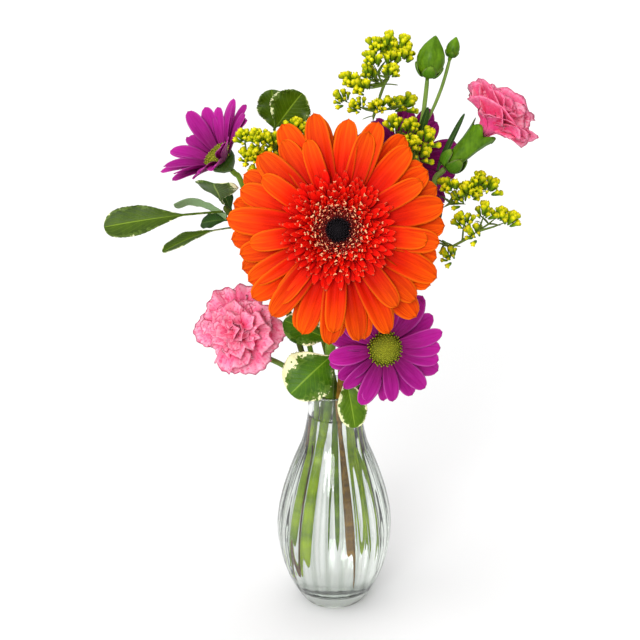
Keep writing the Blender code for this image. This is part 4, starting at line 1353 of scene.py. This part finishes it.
def frillPetals(name, kind, count, seed):
    # fan petals on a narrow claw, folded more and more toward a toothed edge
    sizes = carnationPetals[kind]
    dice = random.Random(seed)
    meshes = []
    for number in range(count):
        folds = dice.uniform(2.4, 3.6)
        phase = dice.uniform(0, math.tau)
        second = dice.uniform(0, math.tau)
        deep = dice.uniform(0.8, 1.25) * sizes["frill"]
        wide = math.radians(sizes["spread"] * dice.uniform(0.85, 1.1))

        def shape(u, v):
            angle = u * wide * (0.35 + 0.65 * min(1.0, v * 1.5))
            tooth = (abs((u * 8.5 + phase) % 1.0 - 0.5) * 2 - 0.5) * sizes["teeth"] * v ** 10
            dip = sizes["teeth"] * 0.7 * math.cos(u * 5 + phase) * v ** 3
            out = sizes["radius"] * v * (1 + tooth + dip - 0.08 * u * u - 0.10 * u ** 4)
            fold = deep * 2.3 * v ** 2.2 * math.sin(u * math.pi * folds + phase)
            fold += deep * 0.9 * v ** 4 * math.sin(u * math.pi * folds * 2.3 + second)
            curl = sizes["cup"] * math.sin(min(1.0, v * 1.15) * math.pi * 0.62) - 3.0 * v ** 3
            return (out * math.cos(angle), out * math.sin(angle), curl + fold)

        meshes.append(sheetMesh(f"{name}{number}", shape, 14, sizes["columns"], 0.30))
    return meshes


def calyxFrame(node, toward):
    # a long round node's own frame: origin at its lower end, +Z to its mouth
    places = nodePoints(node)
    centre = places.mean(0)
    axis = Vector(np.linalg.svd(places - centre)[2][0])
    if axis.dot(toward - Vector(centre)) < 0:
        axis = -axis
    lowest = min((Vector(p) - Vector(centre)).dot(axis) for p in places)
    return frameMatrix(Vector(centre) + axis * lowest, axis)


def buildCalyx(name, node, matrix):
    low, high, wide = reach(matrix, node)
    length = high - low
    shares = [(0.38, 0.03), (0.50, 0.12), (0.58, 0.26), (0.66, 0.45), (0.74, 0.66), (0.88, 0.86),
              (1.0, 0.97), (1.05, 1.0), (0.99, 1.0), (0.80, 0.90), (0.5, 0.86), (0, 0.86)]
    profile = [(1.5, 0.0)] + [(r * wide, z * length) for r, z in shares]

    def lobes(row, angle):
        # five pointed lobes at the mouth, on a faintly fluted tube
        point = abs(math.cos(2.5 * angle)) ** 1.4
        lift = {7: 0.6, 8: 3.4, 9: 3.2}.get(row, 0.0) * (point - 0.35)
        flute = 0.02 * math.cos(10 * angle) if 1 < row < 8 else 0.0
        return 1.0 + flute + (0.06 * point if row in (8, 9) else 0.0), lift

    tube = latheMesh(name + "Tube", profile, 60, lobes)
    tube.transform(matrix)

    def scale(u, v):
        half = 4.4 * math.sin(math.pi * (0.16 + 0.84 * v) ** 0.8) ** 0.6
        return (9.5 * v, u * half, -1.6 * (1 - u * u) - 1.4 * math.sin(math.pi * v))

    scales = growHead(name + "Scales", [sheetMesh(name + "Scale", scale, 8, 6, 0.3)], "calyx", matrix,
                      count=4, turn=90.0, phase=20.0, radius=level(wide * 0.42), height=(0.2, 0.6),
                      tilt=(78, 80), scale=(0.9, 1.0), wander=0.2, seed=71)
    addPiece(name, tube, "calyx", "green_calyx", node)
    addPiece(name + "Scales", scales, "collar", "green_calyx")


def buildBud(name, node, stem):
    toward = Vector(nodePoints(node).mean(0)) * 2 - Vector(nodePoints(stem).mean(0))
    matrix = calyxFrame(node, toward)
    low, high, wide = reach(matrix, node)
    length = high - low
    shares = [(0.32, 0.0), (0.56, 0.05), (0.82, 0.15), (0.99, 0.29), (1.04, 0.42), (0.94, 0.58),
              (0.70, 0.74), (0.38, 0.88), (0.14, 0.97)]
    neck = [(0, -1.9), (0.85, -1.9), (1.05, -0.8)]  # reaches down over the end of the stem
    profile = neck + [(r * wide, z * length) for r, z in shares] + [(0, length)]

    def seams(row, angle):
        share = max(0, row - len(neck)) / len(shares)
        crease = abs(math.sin(2.5 * angle)) ** 0.4 - 1.0
        return 1.0 + 0.24 * crease * share, 0.0

    body = latheMesh(name + "Body", profile, 50, seams)
    body.transform(matrix)

    def scale(u, v):
        half = wide * 0.56 * math.sin(math.pi * (0.2 + 0.8 * v) ** 0.8) ** 0.7
        hug = 0.16 * wide * (1 - u * u) + 0.13 * wide * math.sin(math.pi * v)
        return (length * 0.40 * v, u * half, -hug)

    scales = growHead(name + "Scales", [sheetMesh(name + "Scale", scale, 8, 6, 0.25)], "bud", matrix,
                      count=4, turn=90.0, radius=level(wide * 0.34), height=(-0.3, 0.0),
                      tilt=(57, 59), scale=(0.9, 1.0), wander=0.15, seed=72)
    addPiece(name, body, "bud", "green_calyx", node)
    addPiece(name + "Scales", scales, "collar", "green_calyx")


def buildCarnations():
    for node, (inner, outer, seed, count, kind, outermost) in carnations.items():
        name = pieceName(node)
        petals = frillPetals(name + "Petal", kind, 7, 5)
        guard, guardCount, guardTilt, guardWander = outermost
        guards = frillPetals(name + "Guard", guard, 4, 6)
        head = Vector(nodePoints(node + "_petals").mean(0))
        matrix = calyxFrame(node + "_calyx", head)
        length = reach(matrix, node + "_calyx")[1]
        rows = growHead(name + "Rows", petals, "carnationPetal", matrix, count=count,
                        radius=(0.6, 3.4), height=(length - 1.0, length - 1.5), tilt=(inner, outer),
                        scale=(0.86, 0.95), wander=0.8, seed=seed)
        heart = growHead(name + "Heart", petals, "carnationPetal", matrix, count=9,
                         radius=(0.3, 2.0), height=level(length - 1.0), tilt=(89, 74),
                         scale=(0.80, 0.86), wander=0.9, seed=seed + 2)
        ring = growHead(name + "Guards", guards, "carnationPetal", matrix, count=guardCount,
                        turn=360 / guardCount, radius=level(2.4), height=level(length - 2.0),
                        tilt=level(guardTilt), scale=level(0.98), wander=guardWander, seed=seed + 1)
        bloom = joinMeshes(name + "Petals", [rows, heart, ring])
        addPiece(name + "Petals", bloom, "carnationPetal", "pink_petal", node + "_petals")
        buildCalyx(name + "Calyx", node + "_calyx", matrix)
    buildBud("carnationBudLarge", "carnation_bud_large", "carnation_bud_stem")
    buildBud("carnationBudSmall", "carnation_bud_small", "carnation_bud_side_stem")
    print("carnations:", len(carnations), "and two buds")


# Leaves

leafSizes = {
    # node: (stem it grows from, look, depth of the margin waves and teeth)
    "pittosporum_leaf_long": ("twig_left", "edgedLeaf", 0.5),
    "pittosporum_leaf_edge": ("twig_left", "edgedLeaf", 0.4),
    "pittosporum_leaf_pale": ("twig_left", "paleLeaf", 0.5),
    "pittosporum_leaf_folded": ("twig_left", "foldedLeaf", 0.5),
    "pittosporum_leaf_dark": ("twig_left", "darkLeaf", 0.4),
    "pittosporum_leaf_small": ("twig_left", "darkLeaf", 0.3),
    "pittosporum_leaf_top_light": ("twig_top", "edgedLeaf", 1.5),
    "pittosporum_leaf_top_dark": ("twig_top", "edgedLeaf", 1.2),
    "pittosporum_leaf_low_big": ("twig_low", "variegatedLeaf", 1.0),
    "pittosporum_leaf_low_curled": ("twig_low", "variegatedLeaf", 1.0),
    "pittosporum_leaf_low_small": ("twig_low", "borderedLeaf", 0.7),
    "pittosporum_leaf_rim": ("twig_low", "borderedLeaf", 0.8),
    "carnation_leaf_upper": ("carnation_right_stem", "darkLeaf", 0.0),
    "carnation_leaf_behind": ("carnation_right_stem", "darkLeaf", 0.0),
    "carnation_leaf_low": ("carnation_left_stem", "darkLeaf", 0.0),
    "carnation_bud_leaf": ("carnation_bud_stem", "darkLeaf", 0.0),
}


leafGrid = {
    "levels": 24,  # of the CAD leaf that are read
    "rows": 110,
    "columns": 18,
    "thick": 0.35,
    "stalk": 0.55,  # half width of the stalk
}


def leafRows(node, stem, count):
    # middle, half width and rise of the edges of a CAD leaf, at even steps from its base to its tip
    places = nodePoints(node)
    gaps = np.linalg.norm(places[:, None] - nodePoints(stem)[None], axis=2).min(1)
    base = places[gaps.argmin()]
    tip = places[np.linalg.norm(places - base, axis=1).argmax()]
    along = (tip - base) / np.linalg.norm(tip - base)
    flat = places - base
    flat = flat - np.outer(flat @ along, along)
    side = np.linalg.svd(flat)[2][0]
    side = side - along * (side @ along)
    side /= np.linalg.norm(side)
    up = np.cross(along, side)
    mesh = frame["nodes"][node].data
    corners = np.array([[mesh.vertices[i].co for i in p.vertices] for p in mesh.polygons], float)
    level = (corners - base) @ along
    length = np.linalg.norm(tip - base)
    rows = []
    for step in range(1, count):
        plane = length * step / count
        hits = []
        for tri, heights in zip(corners, level):
            for a, b in ((0, 1), (1, 2), (2, 0)):
                if (heights[a] - plane) * (heights[b] - plane) < 0:
                    t = (plane - heights[a]) / (heights[b] - heights[a])
                    hits.append(tri[a] + (tri[b] - tri[a]) * t)
        hits = np.array(hits)
        across = (hits - base) @ side
        left = hits[across.argmin()]
        right = hits[across.argmax()]
        middle = (across.min() + across.max()) / 2
        width = (across.max() - across.min()) / 2
        inside = np.abs(across - middle) < 0.35 * width
        rise = (hits[inside] - base) @ up if inside.any() else (hits - base) @ up
        edge = ((left - base) @ up + (right - base) @ up) / 2
        centre = base + along * plane + side * middle + up * (rise.min() + rise.max()) / 2
        rows.append((centre, width, edge - (centre - base) @ up))
    if sum(row[2] for row in rows) < 0:  # the edges of a leaf stand toward its face
        up, side = -up, -side
        rows = [(c, w, -e) for c, w, e in rows]
    return base, tip, along, side, up, rows


def buildLeaf(node, stem, look, wave, seed):
    count = leafGrid["levels"]
    base, tip, along, side, up, rows = leafRows(node, stem, count)
    centres = np.array([base] + [r[0] for r in rows] + [tip])
    widths = np.array([0.0] + [r[1] for r in rows] + [0.0])
    for column in range(3):
        centres[:, column] = smoothed(centres[:, column], 3)
    widths = smoothed(widths, 1)
    fold = float(np.median([r[2] / max(r[1], 1e-6) for r in rows[count // 2:]]))
    steps = np.linspace(0, 1, count + 1)
    broad = widths.max()
    peak = min(0.80, float(steps[widths.argmax()]))
    stalk = float(steps[np.argmax(widths > 0.25 * broad)]) * 0.8
    thin = leafGrid["stalk"] * mm
    dice = random.Random(seed)
    start = dice.uniform(0, 50)

    def halfWidth(v):
        if v < stalk:
            return thin
        if v < peak:
            return thin + (broad - thin) * math.sin((v - stalk) / (peak - stalk) * math.pi / 2) ** 1.3
        return broad * max(0.0, 1 - ((v - peak) / (1 - peak)) ** 2.3) ** 0.5

    def shape(u, v):
        centre = Vector([float(np.interp(v, steps, centres[:, k])) for k in range(3)])
        half = halfWidth(v)
        blade = min(1.0, half / broad * 1.6)
        uneven = noise.noise(Vector((start + v * 9 + u * 0.3, u * 2, 0.5)))
        tooth = noise.noise(Vector((start + v * 46, u * 3, 3.0)))
        saw = (v * 25 + start + 0.4 * tooth) % 1.0 - 0.5
        jag = (uneven + tooth * 0.5) * abs(u) ** 3 - saw * 1.3 * u ** 8
        out = half * (1 + blade * 0.05 * wave * jag)
        ripple = 0.9 * mm * wave * blade * abs(u) ** 3
        ripple *= math.sin(v * 21 + start + (1.5 if u > 0 else 0))
        trough = half * fold * (abs(u) ** 1.5) * 1.3
        channel = -0.25 * mm * blade * math.exp(-(u * 9) ** 2)
        rise = trough + ripple + channel
        return (centre + Vector(side) * (u * out) + Vector(up) * rise) / mm

    flip = np.cross(along, side) @ up < 0
    surface = (lambda u, v: shape(-u, v)) if flip else shape
    mesh = sheetMesh(
        node + "Blade", surface, leafGrid["rows"], leafGrid["columns"], leafGrid["thick"], ease=0.35
    )
    mesh.transform(Matrix.Scale(mm, 4))
    slot = "variegated_leaf" if node.startswith("pitto") else "green_leaf"
    addPiece(pieceName(node), mesh, look, slot, node)


def buildLeaves():
    for number, (node, (stem, look, wave)) in enumerate(leafSizes.items()):
        buildLeaf(node, stem, look, wave, 80 + number)
    print("leaves:", len(leafSizes))


# Goldenrod

goldenrod = {
    "ball": 3.4,  # radius of a CAD cluster
    "faceDepth": 0.795,  # share of it from a face of the cluster to its middle
    "heart": 0.40,  # what is left of it under the florets
    "florets": 14,
    "floretLength": 5.0,
    "floretRadius": 1.20,
    # further heads on short shoots of their own, this far from each cluster of a spray
    "moreHeads": {"goldenrod_spray_left": ((-1.0, -1.0, 9.5), (5.5, -0.5, 7.0))},
    "bladeGap": 4.2,  # narrow leaves stand at least this far from the middle of a cluster
    "blades": (14, 22),  # most leaves on a spray of up to six clusters, and on a larger one
}
sprays = [
    "goldenrod_spray_top", "goldenrod_spray_middle", "goldenrod_spray_left",
    "goldenrod_spray_right_upper", "goldenrod_spray_right_lower",
]


def clusterCentres(node):
    # each face of a twenty-sided cluster votes for the cluster's middle
    work = weldedCopy(node, quads=False)
    inside = goldenrod["ball"] * goldenrod["faceDepth"] * mm
    votes = np.array([f.calc_center_median() - f.normal * inside for f in work.faces])
    work.free()
    near = np.linalg.norm(votes[:, None] - votes[None], axis=2) < 0.45 * mm
    centres = []
    free = np.ones(len(votes), bool)
    while True:
        counts = (near & free[None]).sum(1) * free
        best = int(counts.argmax())
        if counts[best] < 6:  # too few faces agree for a cluster
            return centres
        centre = votes[near[best] & free].mean(0)
        centres.append(Vector(centre))
        free &= np.linalg.norm(votes - centre, axis=1) > 2.0 * mm


def shootMesh(start, end, radius):
    length = (end - start).length / mm
    mesh = latheMesh("shoot", [(0, 0), (radius, 0.2), (radius * 0.8, length - 0.2), (0, length)], 6)
    mesh.transform(frameMatrix(start, (end - start).normalized()))
    return mesh


def goldenrodHeads():
    # small heads: a green cup that opens in yellow rays, along +X
    meshes = []
    for number in range(4):
        long = goldenrod["floretLength"] * (0.85 + 0.12 * number)
        wide = goldenrod["floretRadius"] * (0.9 + 0.08 * number)
        shares = [(0.50, 0.14), (0.66, 0.36), (0.74, 0.58), (1.0, 0.78), (0.78, 0.92), (0.34, 1.0),
                  (0, 0.98)]
        profile = [(0.22, 0.0)] + [(r * wide, z * long) for r, z in shares]

        def rays(row, angle, turn=number):
            flare = 0.42 * math.cos(5 * angle + turn) if 3 < row < 7 else 0.0
            return 1.0 + flare, flare * 1.1

        mesh = latheMesh(f"goldenrodHead{number}", profile, 10, rays)
        mesh.transform(Matrix.Rotation(math.radians(90), 4, "Y"))
        meshes.append(mesh)
    return meshes


def pointsMesh(name, rows):
    # rows of (place in metres, turn, size) for the scatter tree
    mesh = bpy.data.meshes.new(name)
    mesh.from_pydata([tuple(r[0]) for r in rows], [], [])
    spins = [part for r in rows for part in r[1]]
    mesh.attributes.new("spin", "FLOAT_VECTOR", "POINT").data.foreach_set("vector", spins)
    mesh.attributes.new("size", "FLOAT", "POINT").data.foreach_set("value", [r[2] for r in rows])
    return mesh


def scatter(name, meshes, look, rows, seed):
    points = pointsMesh(name + "Points", rows)
    return setShapes(shapesOnPoints, name, meshes, look, {"Seed": seed}, points)


def buildGoldenrod():
    heads = goldenrodHeads()
    total = 0
    clusters = []
    for number in range(3):
        clusters.append(growHead(
            f"goldenrodCluster{number}", heads, "goldenrod", None, count=goldenrod["florets"],
            radius=(0.2, 2.2), height=(0.4, -2.6), tilt=(88, 48), scale=(1.0, 0.9), wander=1.1,
            seed=90 + number,
        ))

    def blade(u, v):
        half = 1.0 * math.sin(math.pi * (0.15 + 0.85 * v) ** 0.8)
        return (9.0 * v, u * half, 0.4 * u * u - 1.8 * v * v)

    bladeMesh = sheetMesh("goldenrodBlade", blade, 8, 4, 0.22)
    for number, node in enumerate(sprays):
        name = pieceName(node)
        centres = clusterCentres(node)
        total += len(centres)
        places = nodePoints(node)
        middle = Vector(places.mean(0))
        rows = []
        dice = random.Random(100 + number)
        shoots = []
        for centre in centres:
            out = (centre - middle).normalized() * 0.7 + Vector((0, -0.25, 1.0))
            turn = tuple(out.to_track_quat("Z", "X").to_euler())
            rows.append((centre, turn, mm * dice.uniform(0.88, 1.06)))
            for step in goldenrod["moreHeads"].get(node, ()):
                end = centre + Vector(step) * mm
                rows.append((end, turn, mm * dice.uniform(0.85, 1.0)))
                shoots.append(shootMesh(centre, end, 0.45))
        flowers = scatter(name + "Flowers", clusters, "goldenrod", rows, 110 + number)
        addPiece(name + "Flowers", flowers, "goldenrod", "yellow_cluster")

        work = weldedCopy(node)
        for vertex in work.verts:
            for centre in centres:
                away = vertex.co - centre
                if away.length < goldenrod["ball"] * 1.06 * mm:
                    vertex.co = centre + away * goldenrod["heart"]
                    break
        stalk = takeMesh(name + "Stalk", work)
        bladeRows = []
        gap = goldenrod["bladeGap"] * mm
        free = [Vector(p) for p in places if all((Vector(p) - c).length > gap for c in centres)]
        most = goldenrod["blades"][len(centres) > 6]
        for place in dice.sample(free, min(len(free), most)):
            turn = (dice.uniform(-0.4, 0.4), dice.uniform(-0.9, 0.1), dice.uniform(-math.pi, math.pi))
            bladeRows.append((place, turn, mm * dice.uniform(0.45, 1.0)))
        blades = scatter(name + "Blades", [bladeMesh], "sprayStalk", bladeRows, 120 + number)
        addPiece(name, joinMeshes(name, [stalk, blades] + shoots), "sprayStalk", "yellow_cluster", node)
    print("goldenrod clusters:", total)


def buildFloor():
    size = studio["floorSize"]
    steps = 4
    verts = [(size * (i / steps - 0.5), size * (j / steps - 0.5), 0.0)
             for j in range(steps + 1) for i in range(steps + 1)]
    wide = steps + 1
    faces = [(j * wide + i, j * wide + i + 1, (j + 1) * wide + i + 1, (j + 1) * wide + i)
             for j in range(steps) for i in range(steps)]
    mesh = bpy.data.meshes.new("floor")
    mesh.from_pydata(verts, [], faces)
    linkPiece("floor", mesh, "floor")


setUpStudio()
buildFloor()
buildVase()
buildStems()
buildGerbera()
buildDaisies()
buildCarnations()
buildLeaves()
buildGoldenrod()
print("pieces done")
